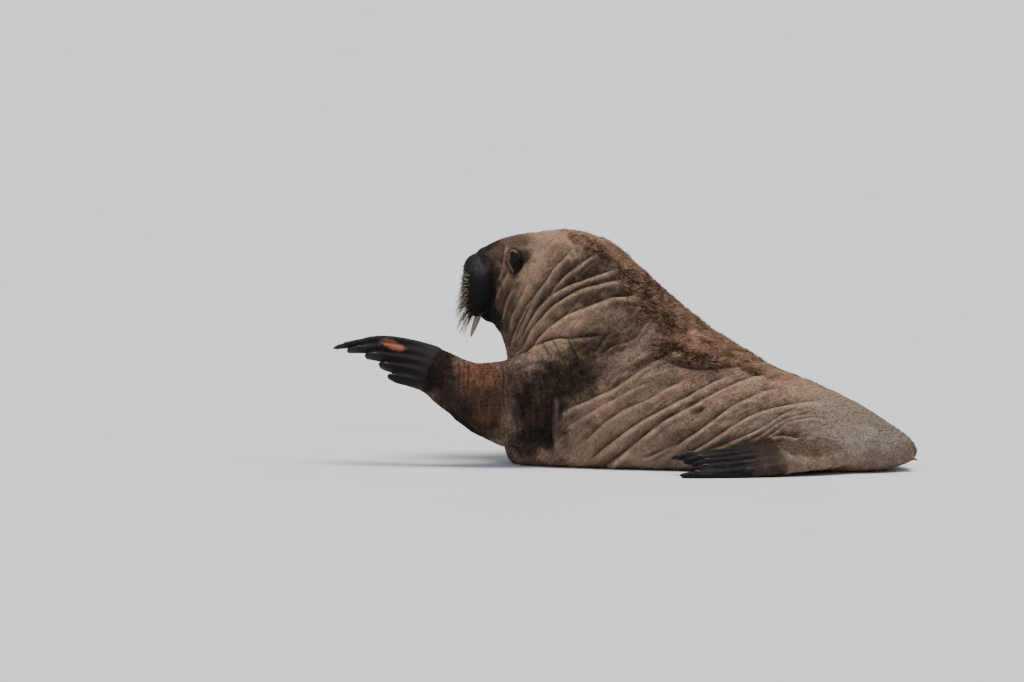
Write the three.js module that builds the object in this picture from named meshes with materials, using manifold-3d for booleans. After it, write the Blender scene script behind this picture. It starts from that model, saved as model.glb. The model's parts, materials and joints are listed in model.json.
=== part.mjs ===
// A young walrus at life size, lying on its belly with its chest and head raised.
// The near foreflipper reaches forward off the ground, the far one is planted on it.
// Millimetres, +Z up. The head faces -X, +Y is the animal's right, and it rests on z = 0.
import * as THREE from 'three';
import { mergeVertices } from 'three/addons/utils/BufferGeometryUtils.js';
import Module from 'manifold-3d';

const wasm = await Module();
wasm.setup();

// Driving sizes
const seam = 0.3; // gap left between two pieces that touch
const skinGrow = 0.45; // how far the trunk is swollen to cut what grows from it
const bodySides = 32;
const armSides = 20;
const armRings = 9;
const handRings = 9;
const headRings = [0, 0.35, 0.7, 1, 1.35, 1.7, 2, 2.4, 2.75]; // before the first fold
const ringStep = 0.3; // a ring stands this share of a pitch to each side of a fold
const rearRings = 9; // behind the last fold
const rearStart = 0.6; // gap before the first of these, in steps between them
const far = 6000; // larger than anything here
const headMidY = 58; // the plane that divides the head in two
const degree = Math.PI / 180;

// Sections of the body from snout to rump. Each lies in a slanted plane through its top and bottom
// points, and yaw turns its width about the vertical.
const sections = [
  { name: 'snout', top: [-550, 748], bottom: [-556, 610], y: 58, half: 50, yaw: 0, sag: 0 },
  { name: 'nose', top: [-506, 786], bottom: [-512, 548], y: 58, half: 74, yaw: 0, sag: 0.1 },
  { name: 'eye', top: [-425, 825], bottom: [-478, 512], y: 58, half: 98, yaw: 0, sag: 0.18 },
  { name: 'brow', top: [-315, 846], bottom: [-446, 468], y: 56, half: 126, yaw: 1, sag: 0.16 },
  { name: 'nape', top: [-168, 856], bottom: [-426, 418], y: 52, half: 172, yaw: 3, sag: 0.12 },
  { name: 'neck', top: [-30, 800], bottom: [-415, 340], y: 40, half: 222, yaw: 7, sag: 0.08 },
  { name: 'withers', top: [92, 690], bottom: [-430, 175], y: 20, half: 272, yaw: 12, sag: 0.06 },
  { name: 'chest', top: [222, 568], bottom: [-375, -10], y: -10, half: 318, yaw: 18, sag: 0.1 },
  { name: 'rib', top: [372, 455], bottom: [-190, -38], y: -62, half: 330, yaw: 23, sag: 0.14 },
  { name: 'waist', top: [522, 371], bottom: [45, -38], y: -132, half: 322, yaw: 27, sag: 0.18 },
  { name: 'loin', top: [670, 317], bottom: [300, -32], y: -212, half: 302, yaw: 29, sag: 0.2 },
  { name: 'hip', top: [818, 253], bottom: [560, -22], y: -292, half: 266, yaw: 30, sag: 0.2 },
  { name: 'thigh', top: [944, 179], bottom: [780, -8], y: -356, half: 216, yaw: 28, sag: 0.16 },
  { name: 'rump', top: [1030, 126], bottom: [958, 2], y: -402, half: 146, yaw: 26, sag: 0.1 },
  { name: 'end', top: [1076, 82], bottom: [1056, 30], y: -428, half: 58, yaw: 25, sag: 0 },
];
const station = (name) => sections.findIndex((s) => s.name === name);

// Skin folds: each run crowds `count` folds between two places on the body, each `depth` deep.
const foldRuns = [
  { from: station('brow') + 0.05, to: station('withers') + 0.2, count: 8, depth: 13 },
  { from: station('withers') + 0.55, to: station('hip') - 0.1, count: 9, depth: 9 },
];
const boxiness = 0.84; // below 1, a section is fuller than an ellipse at its corners
const foldWidth = 0.16; // share of the pitch over which a fold opens out
const foldOverTop = 0.35; // depth on the back beside that on the flanks
const cuts = {
  neck: station('brow') + 0.45,
  chest: station('withers') - 0.05,
  torso: station('rib') - 0.1,
  hips: station('loin') + 0.35,
};

// Limbs, from the root inside the trunk to the fingertips. dorsal is the way the back of it faces.
const foreLeft = {
  handed: 1,
  wrist: 4,
  stations: [
    { at: [-120, -200, 290], dorsal: [0, -1, 0.1], across: 138, thick: 96 },
    { at: [-265, -222, 248], dorsal: [0, -1, 0.1], across: 176, thick: 112 },
    { at: [-420, -240, 236], dorsal: [0, -1, 0.15], across: 166, thick: 96 },
    { at: [-572, -236, 280], dorsal: [0, -0.95, 0.3], across: 114, thick: 62 },
    { at: [-700, -210, 356], dorsal: [0, -0.85, 0.5], across: 94, thick: 34 },
    { at: [-885, -170, 394], dorsal: [0, -0.8, 0.6], across: 96, thick: 22 },
    { at: [-1066, -132, 384], dorsal: [-0.1, -0.8, 0.6], across: 58, thick: 13 },
  ],
  reach: [1, 0.84, 0.65, 0.49, 0.38],
  edgeReach: [0.93, 0.26],
};
const foreRight = {
  handed: -1,
  wrist: 3,
  stations: [
    { at: [-120, 190, 270], dorsal: [-0.2, 0.6, 0.8], across: 150, thick: 100 },
    { at: [-135, 305, 215], dorsal: [-0.2, 0.65, 0.75], across: 150, thick: 96 },
    { at: [-130, 410, 130], dorsal: [-0.1, 0.6, 0.8], across: 128, thick: 72 },
    { at: [-100, 500, 48], dorsal: [0, 0.3, 0.95], across: 104, thick: 46 },
    { at: [-20, 645, 16], dorsal: [0, 0, 1], across: 104, thick: 24 },
    { at: [85, 790, 8], dorsal: [0, 0, 1], across: 60, thick: 13 },
  ],
  reach: [1, 0.9, 0.76, 0.64, 0.54],
  edgeReach: [0.9, 0.36],
};
const hindLeft = {
  handed: 1,
  wrist: 3,
  stations: [
    { at: [890, -392, 108], dorsal: [0, -0.5, 0.85], across: 108, thick: 80 },
    { at: [805, -474, 98], dorsal: [0, -0.5, 0.85], across: 102, thick: 72 },
    { at: [705, -548, 80], dorsal: [0, -0.5, 0.85], across: 88, thick: 56 },
    { at: [592, -592, 62], dorsal: [0, -0.5, 0.85], across: 80, thick: 40 },
    { at: [400, -616, 46], dorsal: [0, -0.45, 0.88], across: 90, thick: 24 },
    { at: [190, -634, 34], dorsal: [-0.1, -0.4, 0.9], across: 84, thick: 14 },
  ],
  reach: [1, 0.9, 0.84, 0.87, 0.96],
  edgeReach: [0.86, 0.82],
};
const hipPlane = { at: [760, -330, 0], yaw: 29 };

// Face. Lateral places are measured from the head's middle plane, and made for both sides.
const eye = { at: [-392, 79, 763], radius: 17, gaze: [-0.3, 0.94, 0.12] };
const orbit = { at: [-388, 66, 756], radii: [48, 31, 41] };
const lid = { radius: 22, opening: [14.5, 12], reach: 20 };
const earPit = { at: [-320, 128, 744], radii: [6, 12, 7] };
const pad = { at: [-527, 46, 632], radii: [57, 56, 101], tilt: 4 };
const snout = { at: [-520, 0, 700], radii: [62, 72, 66] };
const bridge = { at: [-480, 0, 733], radii: [62, 60, 60] };
const upperLip = { at: [-530, 0, 668], radii: [55, 62, 60] };
const nostril = { at: [-562, 20, 741], radii: [13, 5, 14], tilt: 45, turn: 30 };
const jaw = { at: [-470, 0, 550], radii: [54, 52, 46] };
const lip = { at: [-476, 0, 560], radii: [57, 55, 20], tilt: -24 };
const tusk = {
  points: [[-500, 40, 612], [-514, 42, 568], [-532, 43, 514], [-553, 42, 456]],
  radii: [[13, 10], [13, 10], [11, 8.5], [3, 2.6]],
};
const tail = {
  points: [[1010, -412, 66], [1062, -440, 54], [1090, -456, 40]],
  radii: [[18, 34], [13, 27], [5, 10]],
};
const padDetail = 16;
const hornSides = 14;
const hornRings = 8;

// Whiskers stand in rows on each pad, the lower ones longer and hanging.
const whisker = {
  rows: 8,
  columns: 5,
  high: 36 * degree,
  low: -68 * degree,
  inner: -22 * degree,
  outer: 72 * degree,
  short: 24,
  long: 78,
  rootRadius: 1.9,
  tipRadius: 0.35,
  sides: 3,
  sunk: 7,
  seed: 11,
};

// Where the five digits of a hand lie across it, from -1 at its leading edge to 1.
const digitAt = [-0.84, -0.44, -0.04, 0.36, 0.78];
const digitHalf = 0.12;
const webNotch = 0.1; // how far the web is cut back between two digits
const webThin = 0.55; // thickness of the web beside that of a digit
const webStart = 0.6; // how far along the hand the digits stand out in full
const edgeThin = 0.25; // thickness at the edges beside that of the middle
const tipThin = 0.55;
const claw = { place: 0.84, length: 22, radius: 4.6, sides: 5, lift: 3 };

// Materials
const coat = new THREE.MeshStandardMaterial({ color: 0x7a6350, roughness: 0.85 });
const dark = new THREE.MeshStandardMaterial({ color: 0x2e2826, roughness: 0.8 });
const ivory = new THREE.MeshStandardMaterial({ color: 0xb8a684, roughness: 0.45 });
const glossy = new THREE.MeshStandardMaterial({ color: 0x1d1412, roughness: 0.1 });

const vector = (a) => new THREE.Vector3(...a);

// A closed three.js geometry as a solid.
function solidOf(geometry) {
  const bare = new THREE.BufferGeometry().setAttribute('position', geometry.getAttribute('position'));
  bare.setIndex(geometry.getIndex());
  const merged = mergeVertices(bare, 1e-3);
  const triVerts = new Uint32Array(merged.index.array);
  const build = () =>
    new wasm.Manifold(
      new wasm.Mesh({ numProp: 3, vertProperties: merged.attributes.position.array, triVerts }),
    );
  const made = build();
  if (made.volume() >= 0) return made;
  for (let i = 0; i < triVerts.length; i += 3) {
    [triVerts[i + 1], triVerts[i + 2]] = [triVerts[i + 2], triVerts[i + 1]];
  }
  return build();
}

// The largest closed surface of a solid, as a three.js geometry.
function geometryOf(solid) {
  const bodies = solid.decompose().sort((a, b) => b.volume() - a.volume());
  const mesh = bodies[0].getMesh();
  const stride = mesh.numProp;
  const points = new Float32Array(mesh.numVert * 3);
  for (let i = 0; i < mesh.numVert; i += 1) {
    points.set(mesh.vertProperties.subarray(i * stride, i * stride + 3), i * 3);
  }
  const geometry = new THREE.BufferGeometry();
  geometry.setAttribute('position', new THREE.BufferAttribute(points, 3));
  geometry.setIndex(new THREE.BufferAttribute(mesh.triVerts, 1));
  return geometry;
}

// A closed skin over rings of points, each ring capped by a strip between its two halves.
function skinOver(rings) {
  const sides = rings[0].length;
  const positions = rings.flat().flatMap((p) => [p.x, p.y, p.z]);
  const faces = [];
  for (let r = 0; r + 1 < rings.length; r += 1) {
    for (let j = 0; j < sides; j += 1) {
      const a = r * sides + j;
      const b = r * sides + ((j + 1) % sides);
      faces.push(a, b, a + sides, b, b + sides, a + sides);
    }
  }
  const capStrip = (first, flip) => {
    const add = (a, b, c) => faces.push(...(flip ? [a, b, c] : [a, c, b]).map((i) => first + i));
    for (let j = 0; j < sides / 2; j += 1) {
      const low = (sides - j) % sides;
      const lowNext = sides - j - 1;
      if (j > 0 && lowNext > j) add(j, lowNext, low);
      if (j + 1 < sides / 2) add(j, j + 1, lowNext);
    }
  };
  capStrip(0, false);
  capStrip((rings.length - 1) * sides, true);
  const geometry = new THREE.BufferGeometry();
  geometry.setAttribute('position', new THREE.Float32BufferAttribute(positions, 3));
  geometry.setIndex(faces);
  return geometry;
}

// A smooth line through values at 0, 1, 2 and so on.
function smooth(values) {
  const line = new THREE.CatmullRomCurve3(values.map(vector), false, 'catmullrom', 0.5);
  const last = values.length - 1;
  return (t) => line.getPoint(THREE.MathUtils.clamp(t / last, 0, 1));
}

const topLine = smooth(sections.map((s) => [s.top[0], s.y, s.top[1]]));
const bottomLine = smooth(sections.map((s) => [s.bottom[0], s.y, s.bottom[1]]));
const girthLine = smooth(sections.map((s) => [s.half, s.yaw, s.sag]));

// Centre, half height and width directions of the body at t.
function sectionAt(t) {
  const top = topLine(t);
  const bottom = bottomLine(t);
  const girth = girthLine(t);
  return {
    centre: top.clone().add(bottom).multiplyScalar(0.5),
    up: top.clone().sub(bottom).multiplyScalar(0.5),
    side: new THREE.Vector3(Math.sin(girth.y * degree), Math.cos(girth.y * degree), 0),
    half: girth.x,
    sag: girth.z,
  };
}

// How deep the folds cut the skin at t, at an angle round the body from its right side.
function foldDepth(t, angle) {
  const flank = foldOverTop + (1 - foldOverTop) * Math.cos(angle) ** 2;
  return foldRuns.reduce((sum, run) => {
    const pitch = (run.to - run.from) / (run.count - 1);
    const place = (t - run.from) / pitch;
    if (place < -0.5 || place > run.count - 0.5) return sum;
    const nearest = Math.abs(place - Math.round(place));
    return sum + run.depth * flank * Math.exp(-nearest / foldWidth);
  }, 0);
}

const boxed = (value) => Math.sign(value) * Math.abs(value) ** boxiness;

// One ring of skin points round the body at t, swollen by grow.
function bodyRing(t, grow) {
  const { centre, up, side, half, sag } = sectionAt(t);
  if (t === sections.length - 1) centre.addScaledVector(side.clone().cross(up).normalize(), grow);
  const tall = up.length();
  const upward = up.clone().normalize();
  return Array.from({ length: bodySides }, (_, j) => {
    const angle = (j / bodySides) * 2 * Math.PI;
    const sine = boxed(Math.sin(angle));
    const cosine = boxed(Math.cos(angle));
    const shrink = foldDepth(t, angle);
    return centre
      .clone()
      .addScaledVector(side, cosine * (half + grow - shrink))
      .addScaledVector(upward, (sine - sag * cosine * cosine) * (tall + grow - shrink));
  });
}

// Rings are close together along each run of folds, and wider apart elsewhere.
function ringPlaces() {
  const places = [...headRings];
  for (const run of foldRuns) {
    const pitch = (run.to - run.from) / (run.count - 1);
    for (let i = 0; i < run.count; i += 1) {
      for (const step of [-ringStep, 0, ringStep]) places.push(run.from + (i + step) * pitch);
    }
  }
  const rear = foldRuns[1].to;
  const last = sections.length - 1;
  for (let i = 1; i <= rearRings; i += 1) {
    places.push(rear + ((last - rear) * (i + rearStart)) / (rearRings + rearStart));
  }
  return places.sort((a, b) => a - b);
}

function bodySolid(grow) {
  return solidOf(skinOver(ringPlaces().map((t) => bodyRing(t, grow))));
}

// A huge box on one side of a plane through a point.
function halfSpace(point, normal) {
  const size = far * 2;
  const box = new THREE.BoxGeometry(size, size, size);
  box.translate(0, 0, size / 2);
  const turn = new THREE.Quaternion().setFromUnitVectors(new THREE.Vector3(0, 0, 1), normal);
  box.applyQuaternion(turn);
  box.translate(point.x, point.y, point.z);
  return solidOf(box);
}

const floor = halfSpace(new THREE.Vector3(0, 0, 0), new THREE.Vector3(0, 0, -1));

// What lies past the section at t, towards the rump for sign 1 and the snout for sign -1.
function beyond(t, sign) {
  const { centre, up, side } = sectionAt(t);
  const normal = up.clone().cross(side).normalize().multiplyScalar(-1);
  if (normal.x < 0) normal.negate();
  normal.multiplyScalar(sign);
  return halfSpace(centre.clone().addScaledVector(normal, -seam / 2), normal);
}

function slice(solid, from, to) {
  let piece = solid;
  if (from !== null) piece = piece.subtract(beyond(from, -1));
  if (to !== null) piece = piece.subtract(beyond(to, 1));
  return piece;
}

// Centre line, directions and half sizes of a limb at t.
function limbShape(limb) {
  const { stations, handed } = limb;
  const last = stations.length - 1;
  const line = new THREE.CatmullRomCurve3(
    stations.map((s) => vector(s.at)), false, 'catmullrom', 0.5,
  );
  const dorsalLine = smooth(stations.map((s) => s.dorsal));
  const sizeLine = smooth(stations.map((s) => [s.across, s.thick, 0]));
  return (t) => {
    const along = line.getTangent(THREE.MathUtils.clamp(t / last, 0, 1));
    const across = dorsalLine(t).cross(along).normalize().multiplyScalar(handed);
    const dorsal = along.clone().cross(across).normalize().multiplyScalar(handed);
    const size = sizeLine(t);
    return {
      at: line.getPoint(THREE.MathUtils.clamp(t / last, 0, 1)),
      across,
      dorsal,
      half: size.x,
      thick: size.y,
    };
  };
}

function limbPoint(shape, acrossBy, thickBy) {
  return shape.at
    .clone()
    .addScaledVector(shape.across, acrossBy)
    .addScaledVector(shape.dorsal, thickBy);
}

// The arm or leg, from its root to just short of the wrist.
function armSolid(limb) {
  const shapeAt = limbShape(limb);
  const rings = Array.from({ length: armRings }, (_, i) => {
    const shape = shapeAt((limb.wrist * i) / (armRings - 1));
    return Array.from({ length: armSides }, (_unused, j) => {
      const angle = (j / armSides) * 2 * Math.PI;
      return limbPoint(shape, Math.cos(angle) * shape.half, Math.sin(angle) * shape.thick);
    });
  });
  return solidOf(skinOver(rings));
}

// Places across a hand where its skin has points: both edges, each digit and each web.
function handColumns() {
  const columns = [-1];
  digitAt.forEach((c, i) => {
    columns.push(c - digitHalf * 0.8, c, c + digitHalf * 0.8);
    if (i + 1 < digitAt.length) columns.push((c + digitAt[i + 1]) / 2);
  });
  columns.push(1);
  return columns;
}

// How far towards the longest fingertip the hand reaches at a place across it.
function reachAt(limb, c) {
  const places = [-1, ...digitAt, 1];
  const values = [limb.edgeReach[0], ...limb.reach, limb.edgeReach[1]];
  const i = Math.min(places.length - 2, places.findIndex((p, k) => c <= places[k + 1]));
  const share = (c - places[i]) / (places[i + 1] - places[i]);
  const between = i > 0 && i < places.length - 2;
  const notch = between ? webNotch * (1 - digitRidge(c)) : 0;
  return THREE.MathUtils.lerp(values[i], values[i + 1], share) - notch;
}

// 1 on a digit, falling to 0 on the web beside it.
function digitRidge(c) {
  const nearest = Math.min(...digitAt.map((d) => Math.abs(c - d)));
  return Math.exp(-((nearest / digitHalf) ** 2));
}

// The hand or foot: a paddle whose digits stand up as ridges and end past the web between them.
function handSolid(limb) {
  const shapeAt = limbShape(limb);
  const tip = limb.stations.length - 1;
  const columns = handColumns();
  const lower = columns.slice(1, -1).reverse();
  const rings = Array.from({ length: handRings + 1 }, (_, i) => {
    const q = i / handRings;
    const point = (c, face) => {
      const shape = shapeAt(limb.wrist + (tip - limb.wrist) * q * reachAt(limb, c));
      const round = THREE.MathUtils.lerp(edgeThin, 1, Math.sqrt(Math.max(0, 1 - c * c)));
      const web = webThin + (1 - webThin) * digitRidge(c);
      const ridge = THREE.MathUtils.lerp(1, web, Math.min(1, q / webStart));
      const blunt = i === handRings ? tipThin : 1;
      const edge = Math.abs(c) === 1 ? 0 : face;
      return limbPoint(shape, c * shape.half, edge * shape.thick * round * ridge * blunt);
    };
    return [...columns.map((c) => point(c, 1)), ...lower.map((c) => point(c, -1))];
  });
  return solidOf(skinOver(rings));
}

// One short nail on the back of each digit, near its tip.
function clawSolids(limb) {
  const shapeAt = limbShape(limb);
  const tip = limb.stations.length - 1;
  return digitAt.map((c) => {
    const shape = shapeAt(limb.wrist + (tip - limb.wrist) * claw.place * reachAt(limb, c));
    const along = shape.across.clone().cross(shape.dorsal).multiplyScalar(limb.handed).normalize();
    const cone = new THREE.ConeGeometry(claw.radius, claw.length, claw.sides);
    const aim = along.clone().addScaledVector(shape.dorsal, 0.12).normalize();
    cone.applyQuaternion(new THREE.Quaternion().setFromUnitVectors(new THREE.Vector3(0, 1, 0), aim));
    const seat = limbPoint(shape, c * shape.half, shape.thick * 0.8 - claw.radius + claw.lift);
    cone.translate(seat.x, seat.y, seat.z);
    return solidOf(cone);
  });
}

// Reflects a limb in the upright plane that divides the hips.
function mirrored(limb, plane) {
  const normal = new THREE.Vector3(Math.sin(plane.yaw * degree), Math.cos(plane.yaw * degree), 0);
  const origin = vector(plane.at);
  const flip = (a, from) => {
    const p = vector(a);
    const off = p.clone().sub(from).dot(normal);
    return p.addScaledVector(normal, -2 * off).toArray();
  };
  const stations = limb.stations.map((s) => ({
    ...s,
    at: flip(s.at, origin),
    dorsal: flip(s.dorsal, new THREE.Vector3()),
  }));
  return { ...limb, handed: -limb.handed, stations };
}

// A pointed horn through a few points, its section an ellipse of two radii at each.
function hornSolid(points, radii, grow) {
  const line = smooth(points);
  const girth = smooth(radii.map(([a, b]) => [a, b, 0]));
  const last = points.length - 1;
  const curve = new THREE.CatmullRomCurve3(points.map(vector), false, 'catmullrom', 0.5);
  const rings = Array.from({ length: hornRings }, (_, i) => {
    const t = (last * i) / (hornRings - 1);
    const along = curve.getTangent(t / last);
    const wide = new THREE.Vector3(-along.z, 0, along.x).normalize();
    const across = along.clone().cross(wide).normalize();
    const size = girth(t);
    return Array.from({ length: hornSides }, (_unused, j) => {
      const angle = (j / hornSides) * 2 * Math.PI;
      return line(t)
        .addScaledVector(wide, Math.cos(angle) * (size.x + grow))
        .addScaledVector(across, Math.sin(angle) * (size.y + grow));
    });
  });
  return solidOf(skinOver(rings));
}

// An ellipsoid, tilted about Y and then turned about Z.
function ball(at, radii, detail, tiltY = 0, turnZ = 0) {
  const sphere = new THREE.SphereGeometry(1, detail, Math.round(detail * 0.7));
  sphere.rotateX(Math.PI / 2);
  sphere.scale(...radii);
  sphere.rotateY(tiltY * degree);
  sphere.rotateZ(turnZ * degree);
  sphere.translate(...at);
  return solidOf(sphere);
}

// A place on the face: side is -1 for the animal's left and 1 for its right.
function onFace([x, lateral, z], side) {
  return [x, headMidY + side * lateral, z];
}

const swollen = (radii, grow) => radii.map((r) => r + grow);

// Both whisker pads, and the blunt snout, its bridge and the upper lip between them, as one solid.
function muzzleBlank(grow) {
  const pads = [-1, 1].map((side) =>
    ball(onFace(pad.at, side), swollen(pad.radii, grow), padDetail, pad.tilt),
  );
  const middle = [snout, bridge, upperLip].map((mass) =>
    ball(onFace(mass.at, 0), swollen(mass.radii, grow), padDetail),
  );
  return [...pads, ...middle].reduce((all, one) => all.add(one));
}

// Numbers between 0 and 1 in an order fixed by the seed.
function randomFrom(seed) {
  let state = seed;
  return () => {
    state = (state * 16807) % 2147483647;
    return state / 2147483647;
  };
}

// One whisker: a thin three-sided spine that leaves the pad forwards and droops.
function whiskerSolid(root, outward, length, droopBy) {
  const forward = outward.clone().multiplyScalar(0.9).add(new THREE.Vector3(-0.4, 0, -0.4)).normalize();
  const droop = forward.clone().add(new THREE.Vector3(0, 0, -droopBy)).normalize();
  const start = root.clone().addScaledVector(outward, -whisker.sunk);
  const middle = root.clone().addScaledVector(forward, length * 0.5);
  const end = middle.clone().addScaledVector(droop, length * 0.5);
  const wide = new THREE.Vector3(0, 1, 0).addScaledVector(forward, -forward.y).normalize();
  const high = forward.clone().cross(wide);
  const sizes = [whisker.rootRadius, whisker.rootRadius * 0.75, whisker.tipRadius];
  const rings = [start, middle, end].map((centre, i) =>
    Array.from({ length: whisker.sides }, (_unused, j) => {
      const angle = (j / whisker.sides) * 2 * Math.PI;
      return centre
        .clone()
        .addScaledVector(wide, Math.cos(angle) * sizes[i])
        .addScaledVector(high, Math.sin(angle) * sizes[i]);
    }),
  );
  return solidOf(skinOver(rings));
}

// The whiskers of one side, varied in place and length.
function whiskersOn(side) {
  const random = randomFrom(whisker.seed);
  const vary = (amount) => 1 + amount * (2 * random() - 1);
  const centre = vector(onFace(pad.at, side));
  const made = [];
  for (let row = 0; row < whisker.rows; row += 1) {
    const down = row / (whisker.rows - 1);
    for (let column = 0; column < whisker.columns; column += 1) {
      const out = (column + (row % 2) * 0.5) / (whisker.columns - 0.5);
      const pitch = THREE.MathUtils.lerp(whisker.high, whisker.low, down) * vary(0.04);
      const swing = THREE.MathUtils.lerp(whisker.inner, whisker.outer, out) * vary(0.06);
      const unit = new THREE.Vector3(
        -Math.cos(swing) * Math.cos(pitch),
        side * Math.sin(swing) * Math.cos(pitch),
        Math.sin(pitch),
      );
      const root = centre.clone().add(unit.clone().multiply(vector(pad.radii)));
      const outward = unit.clone().divide(vector(pad.radii)).normalize();
      const base = THREE.MathUtils.lerp(whisker.short, whisker.long, down ** 1.8);
      const length = base * (0.85 + 0.3 * out) * vary(0.15);
      made.push(whiskerSolid(root, outward, length, 0.25 + 0.45 * down));
    }
  }
  return made;
}

const group = new THREE.Group();

function addNode(name, solid, material) {
  const mesh = new THREE.Mesh(geometryOf(solid), material);
  mesh.name = name;
  group.add(mesh);
}

const body = bodySolid(0).subtract(floor);
const bodyGrown = bodySolid(skinGrow);
addNode('neck', slice(body, cuts.neck, cuts.chest), coat);
addNode('chest', slice(body, cuts.chest, cuts.torso), coat);
addNode('torso', slice(body, cuts.torso, cuts.hips), coat);
addNode('hips', slice(body, cuts.hips, null), coat);
addNode('tail', hornSolid(tail.points, tail.radii, 0).subtract(bodyGrown), coat);

// The head, with a lidded socket for each eye and a pit for each ear.
const muzzleGrown = muzzleBlank(skinGrow);
let head = slice(body, null, cuts.neck).subtract(muzzleGrown);
for (const [side, name] of [[-1, 'left'], [1, 'right']]) {
  const centre = vector(onFace(eye.at, side));
  const gaze = new THREE.Vector3(eye.gaze[0], side * eye.gaze[1], eye.gaze[2]).normalize();
  const turn = Math.atan2(gaze.y, gaze.x) / degree - 90;
  const aim = centre.clone().addScaledVector(gaze, lid.reach);
  head = head
    .add(ball(onFace(orbit.at, side), orbit.radii, 12))
    .add(ball(centre.toArray(), Array(3).fill(lid.radius), 12))
    .subtract(ball(aim.toArray(), [lid.opening[0], lid.reach, lid.opening[1]], 12, 0, turn))
    .subtract(ball(centre.toArray(), Array(3).fill(eye.radius + seam), 12))
    .subtract(ball(onFace(earPit.at, side), earPit.radii, 8));
  addNode(`eye_${name}`, ball(centre.toArray(), Array(3).fill(eye.radius), 12), glossy);
}
addNode('head', head, coat);

// The jaw sits under the pads, its lip a low ridge along the line of the mouth.
function jawBlank(grow) {
  return ball(onFace(jaw.at, 0), swollen(jaw.radii, grow), 20)
    .add(ball(onFace(lip.at, 0), swollen(lip.radii, grow), 20, lip.tilt));
}
addNode('jaw', jawBlank(0).subtract(muzzleGrown).subtract(bodyGrown), dark);
const jawGrown = jawBlank(skinGrow);

// Tusks hang from the pads, and no whisker passes through one or through the jaw.
let muzzle = muzzleBlank(0);
for (const [side, name] of [[-1, 'left'], [1, 'right']]) {
  const line = tusk.points.map((p) => onFace(p, side));
  addNode(
    `tusk_${name}`,
    hornSolid(line, tusk.radii, 0).subtract(muzzleGrown).subtract(jawGrown).subtract(bodyGrown),
    ivory,
  );
  muzzle = muzzle.subtract(
    ball(onFace(nostril.at, side), nostril.radii, 12, nostril.tilt, -side * nostril.turn),
  );
}
const keepClear = [-1, 1]
  .map((side) => hornSolid(tusk.points.map((p) => onFace(p, side)), tusk.radii, 1.5))
  .reduce((sum, horn) => sum.add(horn), jawBlank(1.5).add(bodySolid(1.5)));
for (const side of [-1, 1]) {
  for (const spine of whiskersOn(side)) {
    const outside = spine.subtract(muzzle);
    if (outside.intersect(keepClear).isEmpty()) muzzle = muzzle.add(spine);
  }
}
addNode('muzzle', muzzle, dark);

// Splits a limb at its wrist and adds both nodes.
function addLimb(armName, handName, limb) {
  const shape = limbShape(limb)(limb.wrist);
  const along = shape.across.clone().cross(shape.dorsal).multiplyScalar(limb.handed).normalize();
  const reachPlane = halfSpace(shape.at.clone().addScaledVector(along, -seam), along);
  addNode(armName, armSolid(limb).subtract(bodyGrown).subtract(reachPlane).subtract(floor), coat);
  const hand = clawSolids(limb).reduce((sum, nail) => sum.add(nail), handSolid(limb));
  addNode(handName, hand.subtract(bodyGrown).subtract(floor), dark);
}
addLimb('forelimb_left', 'foreflipper_left', foreLeft);
addLimb('forelimb_right', 'foreflipper_right', foreRight);
addLimb('hindlimb_left', 'hindflipper_left', hindLeft);
addLimb('hindlimb_right', 'hindflipper_right', mirrored(hindLeft, hipPlane));

// The origin goes under the middle of the whole, on the floor.
const bounds = new THREE.Box3().setFromObject(group);
const middle = bounds.getCenter(new THREE.Vector3());
group.position.set(-middle.x, -middle.y, 0);

export default group;
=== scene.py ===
"""Looks of a young walrus at rest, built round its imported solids."""

import json
import logging
import math
from collections.abc import Iterator
from contextlib import contextmanager
from dataclasses import dataclass, field
from enum import Enum, IntEnum
from functools import partialmethod

import bpy
import numpy as np
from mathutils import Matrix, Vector
from mathutils.bvhtree import BVHTree
from mathutils.kdtree import KDTree

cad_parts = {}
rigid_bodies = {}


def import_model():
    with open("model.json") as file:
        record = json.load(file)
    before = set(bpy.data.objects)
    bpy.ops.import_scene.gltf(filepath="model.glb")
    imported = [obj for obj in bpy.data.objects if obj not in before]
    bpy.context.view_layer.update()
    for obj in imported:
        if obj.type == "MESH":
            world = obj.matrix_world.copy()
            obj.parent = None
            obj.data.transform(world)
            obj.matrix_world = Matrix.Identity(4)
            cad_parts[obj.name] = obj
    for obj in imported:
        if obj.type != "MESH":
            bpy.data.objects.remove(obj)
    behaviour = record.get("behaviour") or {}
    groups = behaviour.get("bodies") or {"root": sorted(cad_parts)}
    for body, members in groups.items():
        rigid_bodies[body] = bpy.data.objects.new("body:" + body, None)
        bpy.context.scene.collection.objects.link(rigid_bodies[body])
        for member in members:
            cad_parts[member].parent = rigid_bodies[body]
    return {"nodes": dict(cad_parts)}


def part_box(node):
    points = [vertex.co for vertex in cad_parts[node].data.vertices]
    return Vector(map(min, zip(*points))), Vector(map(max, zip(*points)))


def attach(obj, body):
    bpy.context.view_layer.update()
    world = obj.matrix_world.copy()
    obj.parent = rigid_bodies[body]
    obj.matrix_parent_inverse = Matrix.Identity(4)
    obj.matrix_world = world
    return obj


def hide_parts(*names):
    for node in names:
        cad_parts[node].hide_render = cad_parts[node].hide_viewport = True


logging.basicConfig(level=logging.INFO, format="%(name)s: %(message)s")
LOG = logging.getLogger("walrus")

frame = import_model()

MM = 0.001
BLOCK = 50_000
SPECULAR = 0.14
Array = np.ndarray


class Side(Enum):
    """Sides of the animal: its left is nearer the camera."""

    LEFT = -1
    RIGHT = 1

    @property
    def word(self) -> str:
        """The side's name in node names."""
        return self.name.lower()


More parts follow.
